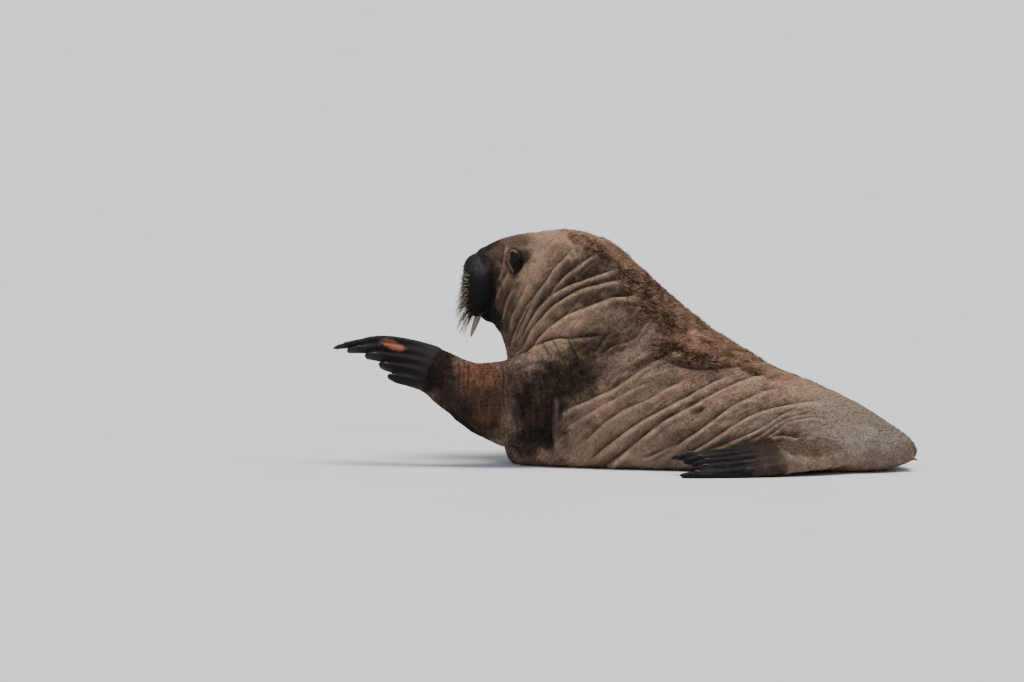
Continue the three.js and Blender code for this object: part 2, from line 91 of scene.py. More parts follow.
class Part(Enum):
    """Regions of the hide, with the nodes that each one covers."""

    HEAD = ("head", "jaw")
    MUZZLE = ("muzzle",)
    NECK = ("neck",)
    CHEST = ("chest",)
    TORSO = ("torso",)
    HIPS = ("hips", "tail")
    ARM_LEFT = ("forelimb_left",)
    ARM_RIGHT = ("forelimb_right",)
    LEG_LEFT = ("hindlimb_left",)
    LEG_RIGHT = ("hindlimb_right",)
    HAND_LEFT = ("foreflipper_left",)
    HAND_RIGHT = ("foreflipper_right",)
    FOOT_LEFT = ("hindflipper_left",)
    FOOT_RIGHT = ("hindflipper_right",)


class Seed(IntEnum):
    """What fixes each pattern of waves."""

    SHIFT_ACROSS = 21
    SHIFT_DOWN = 22
    FOLD = 31
    WRINKLE_BEND = 41
    WRINKLE = 42
    LUMP = 43
    LIMB = 44
    TENDON = 51
    EDGE_ACROSS = 61
    EDGE_DOWN = 62
    WRIST = 63
    LIE = 71


PARTS = list(Part)
HANDS = (Part.HAND_LEFT, Part.HAND_RIGHT, Part.FOOT_LEFT, Part.FOOT_RIGHT)
LIMBS = (Part.ARM_LEFT, Part.ARM_RIGHT, Part.LEG_LEFT, Part.LEG_RIGHT)


# Helpers on arrays of points


def unit(rows: Array) -> Array:
    """Scales each row to length one."""
    length = np.linalg.norm(rows, axis=-1, keepdims=True)
    return rows / np.maximum(length, 1e-12)


def dots(first: Array, second: Array) -> Array:
    """The dot product of each row with the same row of another array."""
    return np.einsum("nc,nc->n", first, second)


def bell(value: Array, width: float | Array) -> Array:
    """A hump 1 high at 0 that fades over a width."""
    return np.exp(-((value / width) ** 2))


def smoothstep(low: float, high: float, value: Array) -> Array:
    """A soft step from 0 at low to 1 at high."""
    t = np.clip((value - low) / (high - low), 0.0, 1.0)
    return t * t * (3.0 - 2.0 * t)


def waves(points: Array, scale: float, seed: int, count: int = 14) -> Array:
    """Smooth noise between about -1 and 1.

    Args:
        points: places, one a row.
        scale: rough distance between one crest and the next, in metres.
        seed: fixes the pattern.
        count: number of waves added up.

    Returns:
        One value for each point.
    """
    random = np.random.default_rng(seed)
    ways = unit(random.normal(size=(count, points.shape[1])))
    lengths = 2.0 * math.pi / (scale * random.uniform(0.7, 1.5, count))
    phases = random.uniform(0.0, 2.0 * math.pi, count)
    total = np.zeros(len(points))
    for way, rate, phase in zip(ways, lengths, phases):
        total += np.sin(points @ way * rate + phase)
    return total * math.sqrt(2.0 / count)


def curve(rows: Array, places: Array) -> Array:
    """Places along a smooth line through some rows, counted in rows from the first."""
    padded = np.vstack([2 * rows[0] - rows[1], rows, 2 * rows[-1] - rows[-2]])
    index = np.clip(np.floor(places).astype(int), 0, len(rows) - 2)
    t = (places - index)[:, None]
    a, b, c, d = (padded[index + k] for k in range(4))
    cubic = (3 * b - a - 3 * c + d) * t**3
    return 0.5 * (2 * b + (c - a) * t + (2 * a - 5 * b + 4 * c - d) * t**2 + cubic)


# Finishes


Colour = tuple[float, float, float]


def srgb(red: int, green: int, blue: int) -> Colour:
    """A display colour as the shader's linear one."""
    return tuple(((value / 255 + 0.055) / 1.055) ** 2.4 for value in (red, green, blue))


class Value:
    """A number or colour in a material's nodes; arithmetic on it adds Math nodes."""

    def __init__(self, graph: "Graph", socket: bpy.types.NodeSocket) -> None:
        """Wraps an output of a node."""
        self.graph, self.socket = graph, socket

    def _with(self, operation: str, swapped: bool, other: "Value | float") -> "Value":
        """Arithmetic on this and another, or on another and this where swapped."""
        first, second = (other, self) if swapped else (self, other)
        return self.graph.math(operation, first, second)

    __add__ = __radd__ = partialmethod(_with, "ADD", False)
    __sub__ = partialmethod(_with, "SUBTRACT", False)
    __rsub__ = partialmethod(_with, "SUBTRACT", True)
    __mul__ = __rmul__ = partialmethod(_with, "MULTIPLY", False)
    __pow__ = partialmethod(_with, "POWER", False)

    def held(self) -> "Value":
        """This kept between 0 and 1."""
        settings = {"operation": "ADD", "use_clamp": True}
        return self.graph.node("ShaderNodeMath", settings, {0: self, 1: 0.0})


class Graph:
    """The nodes of one material."""

    def __init__(self, name: str) -> None:
        """Starts a material of one principled shader."""
        self.material = bpy.data.materials.new(name)
        self.material.use_nodes = True
        self.tree = self.material.node_tree
        self.shader = self.tree.nodes["Principled BSDF"]

    def node(
        self,
        kind: str,
        settings: dict | None = None,
        sockets: dict | None = None,
        out: int | str = 0,
    ) -> Value:
        """Adds a node.

        Args:
            kind: its type.
            settings: its own settings, made first.
            sockets: a number, colour or link for each named or numbered input.
            out: the output that is wanted.

        Returns:
            That output.
        """
        made = self.tree.nodes.new(kind)
        for name, value in (settings or {}).items():
            setattr(made, name, value)
        for name, value in (sockets or {}).items():
            self.feed(made.inputs[name], value)
        return Value(self, made.outputs[out])

    def feed(self, socket: bpy.types.NodeSocket, value: "Value | float | tuple") -> None:
        """Links a value to a socket, or sets the socket."""
        if isinstance(value, Value):
            self.tree.links.new(value.socket, socket)
        elif isinstance(value, tuple) and socket.type == "RGBA":
            socket.default_value = (*value, 1.0)
        else:
            socket.default_value = value

    def math(self, operation: str, first: "Value | float", second: "Value | float") -> Value:
        """Arithmetic on two numbers."""
        return self.node("ShaderNodeMath", {"operation": operation}, {0: first, 1: second})

    def place(self) -> Value:
        """Places on the piece, in metres."""
        return self.node("ShaderNodeTexCoord", out="Object")

    def read(self, name: str) -> Value:
        """A number kept on the mesh."""
        return self.node("ShaderNodeAttribute", {"attribute_name": name}, out="Fac")

    def noise(self, place: Value, scale: float, detail: float = 3.0, rough: float = 0.55) -> Value:
        """Cloudy noise between 0 and 1."""
        sockets = {"Vector": place, "Scale": scale, "Detail": detail, "Roughness": rough}
        return self.node("ShaderNodeTexNoise", None, sockets, "Fac")

    def between(self, value: Value, low: float, high: float) -> Value:
        """0 below low and 1 above high, with a soft step."""
        sockets = {"Value": value, "From Min": low, "From Max": high}
        return self.node("ShaderNodeMapRange", {"interpolation_type": "SMOOTHSTEP"}, sockets)

    def stretched(self, place: Value, height: float) -> Value:
        """Places whose height is scaled, so that noise over them streaks."""
        return self.node("ShaderNodeMapping", None, {"Vector": place, "Scale": (1.0, 1.0, height)})

    def level(self, x: Value, y: "Value | float" = 0.0) -> Value:
        """A place with two coordinates of its own."""
        return self.node("ShaderNodeCombineXYZ", None, {"X": x, "Y": y, "Z": 0.0})

    def mix(self, share: "Value | float", under: "Value | Colour", over: "Value | Colour") -> Value:
        """A colour between two."""
        return self.node("ShaderNodeMix", {"data_type": "RGBA"}, {0: share, 6: under, 7: over}, 2)

    def lay(self, name: str, share: float, under: Value, over: "Value | Colour") -> Value:
        """One colour over another as far as a number kept on the mesh says."""
        return self.mix((self.read(name) * share).held(), under, over)

    def shade(self, colour: Value, amount: Value) -> Value:
        """A colour made lighter or darker."""
        settings = {"data_type": "RGBA", "blend_type": "MULTIPLY"}
        return self.node("ShaderNodeMix", settings, {0: 1.0, 6: colour, 7: amount}, 2)

    def bump(self, height: Value, depth: float) -> Value:
        """Raises the surface by a height between 0 and 1, times a depth in metres."""
        sockets = {"Height": height, "Distance": depth, "Strength": 1.0}
        return self.node("ShaderNodeBump", None, sockets, "Normal")

    def finish(self, **sockets: "Value | float | Colour") -> bpy.types.Material:
        """Feeds the shader, whose sockets are named with underscores for spaces."""
        for name, value in sockets.items():
            self.feed(self.shader.inputs[name.replace("_", " ")], value)
        return self.material


@dataclass(frozen=True)
class HideFinish:
    """Colours of the skin and the coat on it, each named for where it lies; some are painted shade
    and painted highlights.
    """

    flank: Colour = srgb(150, 124, 106)
    flank_grey: Colour = srgb(114, 95, 82)
    # tan hair, also laid as painted highlight where light falls on the head's top, the back and the
    # hip
    tan: Colour = srgb(174, 142, 117)
    # pale colour painted on the rolls of the folds as their highlight
    painted_highlight: Colour = srgb(200, 170, 144)
    rust: Colour = srgb(122, 84, 65)
    spot: Colour = srgb(166, 104, 80)
    # black bare skin, also laid as painted shadow under the chest and in the crease behind the arm
    dark: Colour = srgb(23, 19, 19)
    # pale grey painted along the digits' backs as their wet sheen, and laid on the muzzle's top
    ridge: Colour = srgb(88, 80, 84)
    # pale colour painted on the upper lids' edges as their highlight
    rim: Colour = srgb(178, 166, 160)
    pale: Colour = srgb(134, 121, 110)
    olive: Colour = srgb(44, 32, 22)
    ruff: Colour = srgb(52, 37, 29)
    ruff_tip: Colour = srgb(158, 124, 100)
    # dark colour painted along creases, webs and lid folds as their shade
    crease: Colour = srgb(38, 26, 20)
    # dark brown of the coat and wrists, also laid as painted shadow round the shoulder and under
    # the arm
    shade: Colour = srgb(44, 32, 25)

    def colour(self, graph: Graph, tuft: Value | None = None) -> Value:
        """The colour at each place.

        Args:
            graph: the material's nodes.
            tuft: a number that differs from tuft to tuft, in the coat.

        Returns:
            The colour.
        """
        place = graph.place()
        broad = graph.noise(place, 4.0, 4.0)
        middle = graph.noise(place, 22.0, 4.0, 0.6)
        fine = graph.noise(place, 150.0, 3.0, 0.65)
        streak = graph.noise(graph.stretched(place, 0.14), 70.0, 3.0, 0.6)
        streak = graph.between(streak, 0.35, 0.65)
        patches = graph.between(broad * 0.5 + middle * 0.5, 0.36, 0.62)
        made = graph.mix(patches, self.flank_grey, self.flank)
        uneven = 0.55 + 0.9 * middle
        for name, tone in (("tan", self.tan), ("pale", self.pale), ("shade", self.shade),
                           ("olive", self.olive), ("rust", self.rust)):
            made = graph.mix((graph.read(name) * uneven).held(), made, tone)
        hair = fine if tuft is None else tuft
        tipped = graph.between(hair * 0.55 + middle * 0.55 + 0.32 * graph.read("tan"), 0.46, 0.8)
        ruff = graph.mix(tipped, self.ruff, self.ruff_tip)
        made = graph.lay("ruff", 1.1, made, ruff)
        made = graph.lay("dark", 1.05, made, self.dark)
        # painted sheen along the digits' backs, and the grey of the muzzle's top
        ridged = graph.read("digit") * 0.45 * uneven * (0.5 + 0.7 * streak)
        made = graph.mix(ridged.held(), made, self.ridge)
        # painted highlight along the upper lids' edges
        made = graph.lay("rim", 0.85, made, self.rim)
        spot = graph.read("spot")
        ragged = graph.between(spot + (middle - 0.5) * 1.5 + (fine - 0.5) * 0.9, 0.3, 0.95)
        # the reddish bare spot, ragged at its edge
        wear_and_sheen = ragged * graph.between(spot, 0.05, 0.4)
        made = graph.mix(wear_and_sheen * 0.85, made, self.spot)
        # painted highlight on the roll of each fold
        made = graph.mix((graph.read("crest_highlight") * 0.62 * uneven).held(), made, self.painted_highlight)
        # painted shade in the creases, the eyes' hood and bag, the seam behind the pads and the
        # webs
        made = graph.mix(graph.read("fold") * 0.76, made, self.crease)
        speckle = 0.56 + 0.88 * fine if tuft is None else 0.78 + 0.44 * tuft
        streaked = 1.0 - (1.0 - streak) * 0.42 * graph.read("streak")
        return graph.shade(made, speckle * streaked * (0.8 + 0.4 * middle))

    def skin(self) -> bpy.types.Material:
        """The finish of the skin, with its grain and its small wrinkles."""
        graph = Graph("hide")
        place = graph.place()
        along, girth, trunk = (graph.read(name) for name in ("along", "girth", "trunk"))
        wrinkle = graph.noise(graph.level(along, girth * 0.16), 120.0, 3.0, 0.6)
        fur = graph.noise(graph.level(along * 0.14, girth), 420.0, 3.0, 0.6)
        grain = graph.noise(place, 330.0, 2.0)
        pores = graph.noise(place, 90.0, 4.0, 0.7)
        bare = graph.read("bare")
        score = graph.noise(graph.stretched(place, 0.3), 120.0, 4.0, 0.65) * bare
        height = wrinkle * trunk * 0.9 + fur * trunk * 0.4
        height = height + grain * 0.25 + pores * 0.5 + score * 1.1
        colour = self.colour(graph)
        # painted shade in the grooves of the small wrinkles on the trunk
        furrow = graph.between(wrinkle, 0.34, 0.6)
        colour = graph.shade(colour, 1.0 - 0.3 * trunk * (1.0 - furrow))
        rough = 0.8 - 0.26 * bare + 0.2 * (pores - 0.5)
        normal = graph.bump(height, 2.4 * MM)
        return graph.finish(
            Base_Color=colour, Roughness=rough, Normal=normal, Specular_IOR_Level=SPECULAR
        )

    def coat(self) -> bpy.types.Material:
        """The finish of the tufts of fur, darker at their roots."""
        graph = Graph("coat")
        tip = graph.read("tip")
        colour = graph.shade(self.colour(graph, graph.read("tuft")), 0.9 + 0.3 * tip)
        return graph.finish(Base_Color=colour, Roughness=0.75, Specular_IOR_Level=SPECULAR)


@dataclass(frozen=True)
class EyeFinish:
    """A dark wet eye: black pupil, brown iris and a reddish rim."""

    pupil: Colour = srgb(6, 4, 6)
    iris: Colour = srgb(34, 20, 16)
    iris_dark: Colour = srgb(18, 10, 9)
    rim: Colour = srgb(84, 62, 56)

    def make(self) -> bpy.types.Material:
        """Makes the material; off is the angle from the gaze as a share of a quarter turn."""
        graph = Graph("eye")
        off = graph.read("off")
        streaks = graph.noise(graph.place(), 600.0, 3.0)
        iris = graph.mix(streaks, self.iris, self.iris_dark)
        made = graph.mix(graph.between(off, 0.26, 0.34), self.pupil, iris)
        made = graph.mix(graph.between(off, 0.62, 0.78), made, self.rim)
        return graph.finish(Base_Color=made, Roughness=0.05, Specular_IOR_Level=0.24)


@dataclass(frozen=True)
class IvoryFinish:
    """Stained ivory with growth rings and fine cracks along it."""

    clean: Colour = srgb(188, 171, 141)
    stain: Colour = srgb(110, 95, 74)
    crack: Colour = srgb(70, 56, 40)

    def make(self) -> bpy.types.Material:
        """Makes the material; along runs from 0 at the root to 1 at the tip."""
        graph = Graph("ivory")
        along = graph.read("along")
        place = graph.place()
        grime = graph.noise(place, 45.0, 4.0, 0.6)
        cracks = graph.between(graph.noise(graph.stretched(place, 0.12), 380.0, 3.0), 0.56, 0.66)
        rings = graph.noise(graph.level(along), 26.0, 2.0)
        stained = (1.15 - along * 0.9 + (grime - 0.5) * 1.1).held()
        made = graph.mix(stained * 0.85, self.clean, self.stain)
        made = graph.mix(cracks * 0.55, made, self.crack)
        made = graph.shade(made, 0.8 + 0.4 * rings)
        normal = graph.bump(rings * 0.6 - cracks * 0.5, 0.8 * MM)
        return graph.finish(Base_Color=made, Roughness=0.38 + 0.25 * grime, Normal=normal)


@dataclass(frozen=True)
class WhiskerFinish:
    """Stiff translucent bristles, dark where they leave the skin."""

    root: Colour = srgb(72, 58, 48)
    tip: Colour = srgb(206, 188, 162)

    def make(self) -> bpy.types.Material:
        """Makes the material; tip runs from 0 at the root to 1."""
        graph = Graph("whisker")
        tip, tuft = graph.read("tip"), graph.read("tuft")
        pale = graph.between(tip, 0.15, 0.75) * (0.15 + 0.95 * tuft)
        made = graph.mix(pale.held(), self.root, self.tip)
        streak = graph.noise(graph.place(), 500.0, 2.0)
        return graph.finish(Base_Color=graph.shade(made, 0.75 + 0.5 * streak), Roughness=0.42)


@dataclass(frozen=True)
class HornFinish:
    """Blunt dark nails, worn paler at their ends."""

    base: Colour = srgb(34, 29, 28)
    end: Colour = srgb(96, 82, 70)

    def make(self) -> bpy.types.Material:
        """Makes the material; tip runs from 0 at the root to 1."""
        graph = Graph("nail")
        streak = graph.noise(graph.place(), 420.0, 3.0)
        made = graph.mix((graph.read("tip") ** 1.6 * (0.5 + streak)).held(), self.base, self.end)
        return graph.finish(Base_Color=made, Roughness=0.4, Normal=graph.bump(streak, 0.4 * MM))


# Places on the animal


@dataclass(frozen=True)
class PhotoView:
    """Where a place on the animal shows in the photograph, anchored at its left eye."""

    eye: tuple[float, float, float]
    eye_pixel: tuple[float, float] = (514.05, 255.06)
    middle_pixel: tuple[float, float] = (512.0, 341.0)
    pixel: float = 3.7 * MM
    elevation: float = math.radians(5.0)

    @classmethod
    def from_frame(cls) -> "PhotoView":
        """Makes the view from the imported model's left eye."""
        low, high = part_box("eye_left")
        return cls(tuple((low + high) / 2))

    @property
    def up(self) -> Array:
        """The picture's upward direction."""
        return np.array([0.0, math.sin(self.elevation), math.cos(self.elevation)])

    @property
    def ahead(self) -> Array:
        """The direction in which the camera looks."""
        return np.array([0.0, math.cos(self.elevation), -math.sin(self.elevation)])

    def project(self, points: Array) -> Array:
        """Pixel coordinates of some points."""
        away = points - np.array(self.eye)
        across = self.eye_pixel[0] + away[:, 0] / self.pixel
        down = self.eye_pixel[1] - away @ self.up / self.pixel
        return np.stack([across, down], axis=1)

    def target(self) -> Vector:
        """A place on the animal at the middle of the picture."""
        across = (self.middle_pixel[0] - self.eye_pixel[0]) * self.pixel
        down = (self.middle_pixel[1] - self.eye_pixel[1]) * self.pixel
        place = np.array(self.eye) - self.up * down
        return Vector(place + np.array([across, 0.0, 0.0]))


@dataclass(frozen=True)
class Station:
    """A slanted section of the trunk, in millimetres, with the snout towards -X."""

    top: tuple[float, float]
    bottom: tuple[float, float]
    middle: float
    yaw: float


@dataclass
class Spine:
    """The trunk's sections in order, from snout to rump, and coordinates along and round it."""

    eyes_middle: tuple[float, float, float] = (-392.0, 58.0, 763.0)
    samples: int = 168
    stations: tuple[Station, ...] = (
        Station((-550, 748), (-556, 610), 58, 0),
        Station((-506, 786), (-512, 548), 58, 0),
        Station((-425, 825), (-478, 512), 58, 0),
        Station((-315, 846), (-446, 468), 56, 1),
        Station((-168, 856), (-426, 418), 52, 3),
        Station((-30, 800), (-415, 340), 40, 7),
        Station((92, 690), (-430, 175), 20, 12),
        Station((222, 568), (-375, -10), -10, 18),
        Station((372, 455), (-190, -38), -62, 23),
        Station((522, 371), (45, -38), -132, 27),
        Station((670, 317), (300, -32), -212, 29),
        Station((818, 253), (560, -22), -292, 30),
        Station((944, 179), (780, -8), -356, 28),
        Station((1030, 126), (958, 2), -402, 26),
        Station((1076, 82), (1056, 30), -428, 25),
    )
    shift: Array = field(init=False)
    centre: Array = field(init=False)
    up: Array = field(init=False)
    side: Array = field(init=False)
    back: Array = field(init=False)
    place: Array = field(init=False)

    def __post_init__(self) -> None:
        """Samples the sections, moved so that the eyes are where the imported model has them."""
        boxes = [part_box(f"eye_{side.word}") for side in Side]
        eyes = sum(((low + high) / 4 for low, high in boxes), Vector())
        self.shift = np.array(eyes) - np.array(self.eyes_middle) * MM
        tops = np.array([(s.top[0], s.middle, s.top[1]) for s in self.stations]) * MM
        bottoms = np.array([(s.bottom[0], s.middle, s.bottom[1]) for s in self.stations]) * MM
        self.place = np.linspace(0, len(self.stations) - 1, self.samples)
        top = curve(tops, self.place) + self.shift
        bottom = curve(bottoms, self.place) + self.shift
        yaw = np.radians(curve(np.array([[s.yaw] for s in self.stations], float), self.place))[:, 0]
        self.centre = (top + bottom) / 2
        self.up = unit(top - bottom)
        self.side = np.stack([np.sin(yaw), np.cos(yaw), np.zeros_like(yaw)], axis=1)
        self.back = unit(np.cross(self.side, self.up))
        self.back *= np.sign(self.back[:, :1])

    @property
    def face_middle(self) -> float:
        """The place of the plane between the eyes, in metres."""
        return self.eyes_middle[1] * MM + self.shift[1]

    def locate(self, points: Array) -> dict[str, Array]:
        """Finds the section on which each point lies.

        Args:
            points: places, one a row.

        Returns:
            The place along the spine, the lateral and upward distances from its centre, the angle
            round it from the back, and the directions of that section.
        """
        nearest = np.empty(len(points), int)
        level = dots(self.centre, self.back).astype(np.float32)
        size = dots(self.centre, self.centre).astype(np.float32)
        centres, backs = self.centre.T.astype(np.float32), self.back.T.astype(np.float32)
        for start in range(0, len(points), BLOCK):
            block = points[start:start + BLOCK].astype(np.float32)
            off = np.abs(block @ backs - level)
            square = np.sum(block**2, axis=1)[:, None] - 2.0 * (block @ centres) + size
            cost = off + 0.12 * np.sqrt(np.maximum(square, 0.0))
            nearest[start:start + BLOCK] = np.argmin(cost, axis=1)
        nearest = np.clip(nearest, 0, self.samples - 2)
        offset = points - self.centre[nearest]
        ahead = points - self.centre[nearest + 1]
        here = dots(offset, self.back[nearest])
        there = dots(ahead, self.back[nearest + 1])
        share = np.clip(here / np.maximum(here - there, 1e-6), -2.0, 3.0)
        lateral = dots(offset, self.side[nearest])
        height = dots(offset, self.up[nearest])
        return {
            "along": self.place[nearest] + share * (self.place[1] - self.place[0]),
            "lateral": lateral,
            "height": height,
            "angle": np.arctan2(lateral, height),
            "side": self.side[nearest],
            "back": self.back[nearest],
        }

    def on_near_side(self, points: Array, found: dict[str, Array]) -> Array:
        """Each point, or its mirror image on the near side where it lies on the far one."""
        over = np.maximum(found["lateral"], 0.0)
        return points - 2.0 * over[:, None] * found["side"]


# Skin folds


class Zone(Enum):
    """What part of the hide a crease is cut in."""

    TRUNK = "trunk"
    ARM = "arm"
    ALL = "all"


@dataclass(frozen=True)
class Crease:
    """A crease between two folds of skin, along pixels of the photograph.

    Args:
        line: its course as it shows from the camera, each place's two numbers in turn.
        depth: how far it sinks, in millimetres.
        width: distance over which the skin rounds up beside it, in millimetres.
        roll: how far the skin below it swells, in millimetres, or where negative that above.
        zone: the part of the hide that it cuts.
    """

    line: tuple[float, ...]
    depth: float
    width: float
    roll: float = 3.0
    zone: Zone = Zone.TRUNK

    def measure(self, pixels: Array, pixel: float) -> tuple[Array, Array, Array]:
        """Distances of some pixels from the crease.

        Args:
            pixels: places in the photograph, one a row.
            pixel: metres to a pixel.

        Returns:
            The signed distance in metres, positive above the line, the share along it, and
            the indices of the pixels near it.
        """
        rows = np.array(self.line, float).reshape(-1, 2)
        line = curve(rows, np.linspace(0, len(rows) - 1, 5 * len(rows)))
        reach = 5.0 * self.width * MM / pixel
        low, high = line.min(0) - reach, line.max(0) + reach
        near = np.nonzero(np.all((pixels > low) & (pixels < high), axis=1))[0]
        spots = pixels[near]
        best = np.full(len(near), 1e9)
        signed = np.zeros(len(near))
        share = np.zeros(len(near))
        for i, (a, b) in enumerate(zip(line, line[1:])):
            run = b - a
            t = np.clip((spots - a) @ run / (run @ run), 0.0, 1.0)
            away = spots - (a + t[:, None] * run)
            gap = np.linalg.norm(away, axis=1)
            cross = run[0] * away[:, 1] - run[1] * away[:, 0]
            closer = gap < best
            best[closer] = gap[closer]
            signed[closer] = (np.sign(cross) * gap)[closer]
            share[closer] = ((i + t) / (len(line) - 1))[closer]
        return signed * pixel, share, near


CREASES = (
    Crease((533, 247, 529.5, 254, 526.5, 260, 523, 265, 519.5, 270.5, 514, 277), 4, 8, 2),
    Crease((505, 250, 504.6, 257, 506, 264, 509, 269.5, 512.5, 275), 4.5, 6, 0.5),
    Crease((503, 242, 502, 252, 501, 262, 499, 273, 496, 284), 6, 7, 1),
    Crease((507, 271, 502, 282, 497, 291, 493, 300), 5, 8, 1),
    Crease((512, 286, 505, 299, 501, 310, 498, 324), 7, 9, 2),
    Crease((527, 282, 518, 298, 511, 310, 507, 320, 505, 338), 7, 9, 2),
    Crease((546, 278, 538, 287, 530, 297, 523, 306, 518, 315, 513, 326, 509, 338, 508, 352), 9, 9),
    Crease((574, 247, 561, 259, 552, 268, 545, 279, 534, 295, 524, 312, 516, 329, 510, 346), 10,
            10),
    Crease((601, 252, 587, 257, 575, 266, 564, 274, 554, 284, 546, 294, 535, 306, 527, 318, 520,
            332, 513, 348), 11, 10),
    Crease((619, 267, 606, 271, 589, 276, 575, 281, 561, 287, 550, 294, 540, 304, 531, 316, 523,
            330, 515, 347), 13, 11),
    Crease((625, 279, 612, 280, 599, 283, 581, 287, 567, 294, 553, 303, 541, 315, 531, 327, 523,
            340, 517, 354), 12, 11),
    Crease((640, 292, 629, 294, 613, 295, 600, 299, 584, 305, 567, 312, 553, 322, 540, 333, 529,
            345, 522, 355), 15, 13, 5),
    Crease((606, 334, 590, 334, 570, 337, 558, 337, 546, 340, 536, 344, 526, 348, 517, 355), 13, 12,
            0, Zone.ALL),
    Crease((612, 330, 605, 336, 599, 345, 592, 355), 7, 9, 0, Zone.ALL),
    Crease((566, 338, 571, 346, 575, 354, 578, 362), 7, 9, 0, Zone.ALL),
    Crease((640, 334, 628, 341, 614, 345, 604, 352, 598, 362), 6, 9, 2, Zone.ALL),
    Crease((552, 396, 551, 412, 550, 430, 551, 452), 11, 13, 0, Zone.ALL),
    Crease((541, 341, 546, 348, 548, 356), 4, 6, 0, Zone.ALL),
    Crease((551, 339, 557, 347, 560, 357), 4, 6, 0, Zone.ALL),
    Crease((500, 362, 503, 378, 502, 394, 506, 412), 5, 7, 0, Zone.ARM),
    Crease((468, 362, 469, 374, 468, 386), 4, 6, 0, Zone.ARM),
    Crease((459, 360, 460, 374, 458, 388), 4, 6, 0, Zone.ARM),
    Crease((684, 350, 667, 354, 648, 362, 631, 374, 612, 387, 591, 397, 571, 406, 556, 415), 10,
            11),
    Crease((650, 380, 634, 386, 617, 396, 600, 405, 580, 416, 562, 428), 6, 10),
    Crease((694, 374, 667, 385, 647, 397, 625, 407, 605, 420, 588, 434, 575, 448), 9, 12),
    Crease((743, 371, 718, 375, 698, 385, 678, 397, 657, 409, 637, 421, 618, 435, 598, 450, 586,
            464), 12, 13),
    Crease((776, 373, 755, 373, 731, 381, 706, 393, 682, 407, 661, 419, 645, 432, 629, 446, 612,
            460, 602, 470), 13, 13, 4),
    Crease((784, 386, 763, 389, 743, 397, 722, 409, 702, 424, 684, 436, 668, 449, 650, 464), 11,
            12),
    Crease((847, 403, 829, 398, 804, 400, 784, 403, 763, 407, 743, 415, 722, 428, 706, 438, 688,
            449, 672, 460), 13, 12, 4),
    Crease((800, 406, 778, 413, 759, 424, 743, 432, 731, 438, 714, 445), 9, 9),
    Crease((810, 411, 790, 415, 774, 422, 760, 431, 748, 438), 6, 7, 1),
    Crease((830, 420, 814, 416, 800, 417, 784, 421, 771, 430, 762, 436), 8, 8, 2),
    Crease((800, 442, 790, 436, 778, 434, 766, 436), 7, 8, 1),
    Crease((686, 436, 671, 444, 655, 452, 640, 458), 7, 9),
    Crease((728, 442, 706, 447, 690, 453), 5, 8, 1),
    Crease((780, 374, 762, 371, 747, 367, 731, 363, 716, 365, 698, 366, 680, 364, 666, 359, 654,
            361), 9, 9, -4),
)


# Limbs


@dataclass(frozen=True)
class Joint:
    """A section of an arm or leg, in millimetres: centre, way its back faces and half sizes."""

    at: tuple[float, float, float]
    dorsal: tuple[float, float, float]
    across: float
    thick: float


@dataclass
class Limb:
    """An arm or leg from its root inside the trunk to its fingertips."""

    arm: Part
    hand: Part
    handed: int
    wrist: int
    joints: tuple[Joint, ...]
    reach: tuple[float, ...]
    shift: Array
    digits: tuple[float, ...] = (-0.84, -0.44, -0.04, 0.36, 0.78)
    samples: int = 120

    @property
    def is_leg(self) -> bool:
        """Whether it is a hind limb."""
        return self.arm in (Part.LEG_LEFT, Part.LEG_RIGHT)

    def sections(self, places: Array) -> dict[str, Array]:
        """Centres, directions and half sizes of the sections at some places along the limb."""
        last = len(self.joints) - 1
        held = np.clip(places, 0, last)
        centres = np.array([j.at for j in self.joints]) * MM + self.shift
        sizes = np.array([(j.across, j.thick) for j in self.joints]) * MM
        before, after = np.clip(held - 0.02, 0, last), np.clip(held + 0.02, 0, last)
        along = unit(curve(centres, after) - curve(centres, before))
        across = unit(np.cross(curve(np.array([j.dorsal for j in self.joints]), held), along))
        across = across * self.handed
        dorsal = unit(np.cross(along, across)) * self.handed
        size = curve(sizes, held)
        return {"at": curve(centres, held), "along": along, "across": across, "dorsal": dorsal,
                "half": size[:, 0], "thick": size[:, 1]}

    def locate(self, points: Array) -> dict[str, Array]:
        """Finds the section on which each point lies, and its angle and direction there."""
        places = np.linspace(0, len(self.joints) - 1, self.samples)
        made = self.sections(places)
        nearest = np.empty(len(points), int)
        size = np.sum(made["at"] ** 2, axis=1)
        for start in range(0, len(points), BLOCK):
            block = points[start:start + BLOCK]
            nearest[start:start + BLOCK] = np.argmin(size - 2.0 * block @ made["at"].T, axis=1)
        offset = points - made["at"][nearest]
        across = dots(offset, made["across"][nearest])
        raised = dots(offset, made["dorsal"][nearest])
        half, thick = made["half"][nearest], made["thick"][nearest]
        return {"along": places[nearest], "across": across / half, "raised": raised / thick,
                "angle": np.arctan2(across / half, raised / thick), "way": made["along"][nearest]}


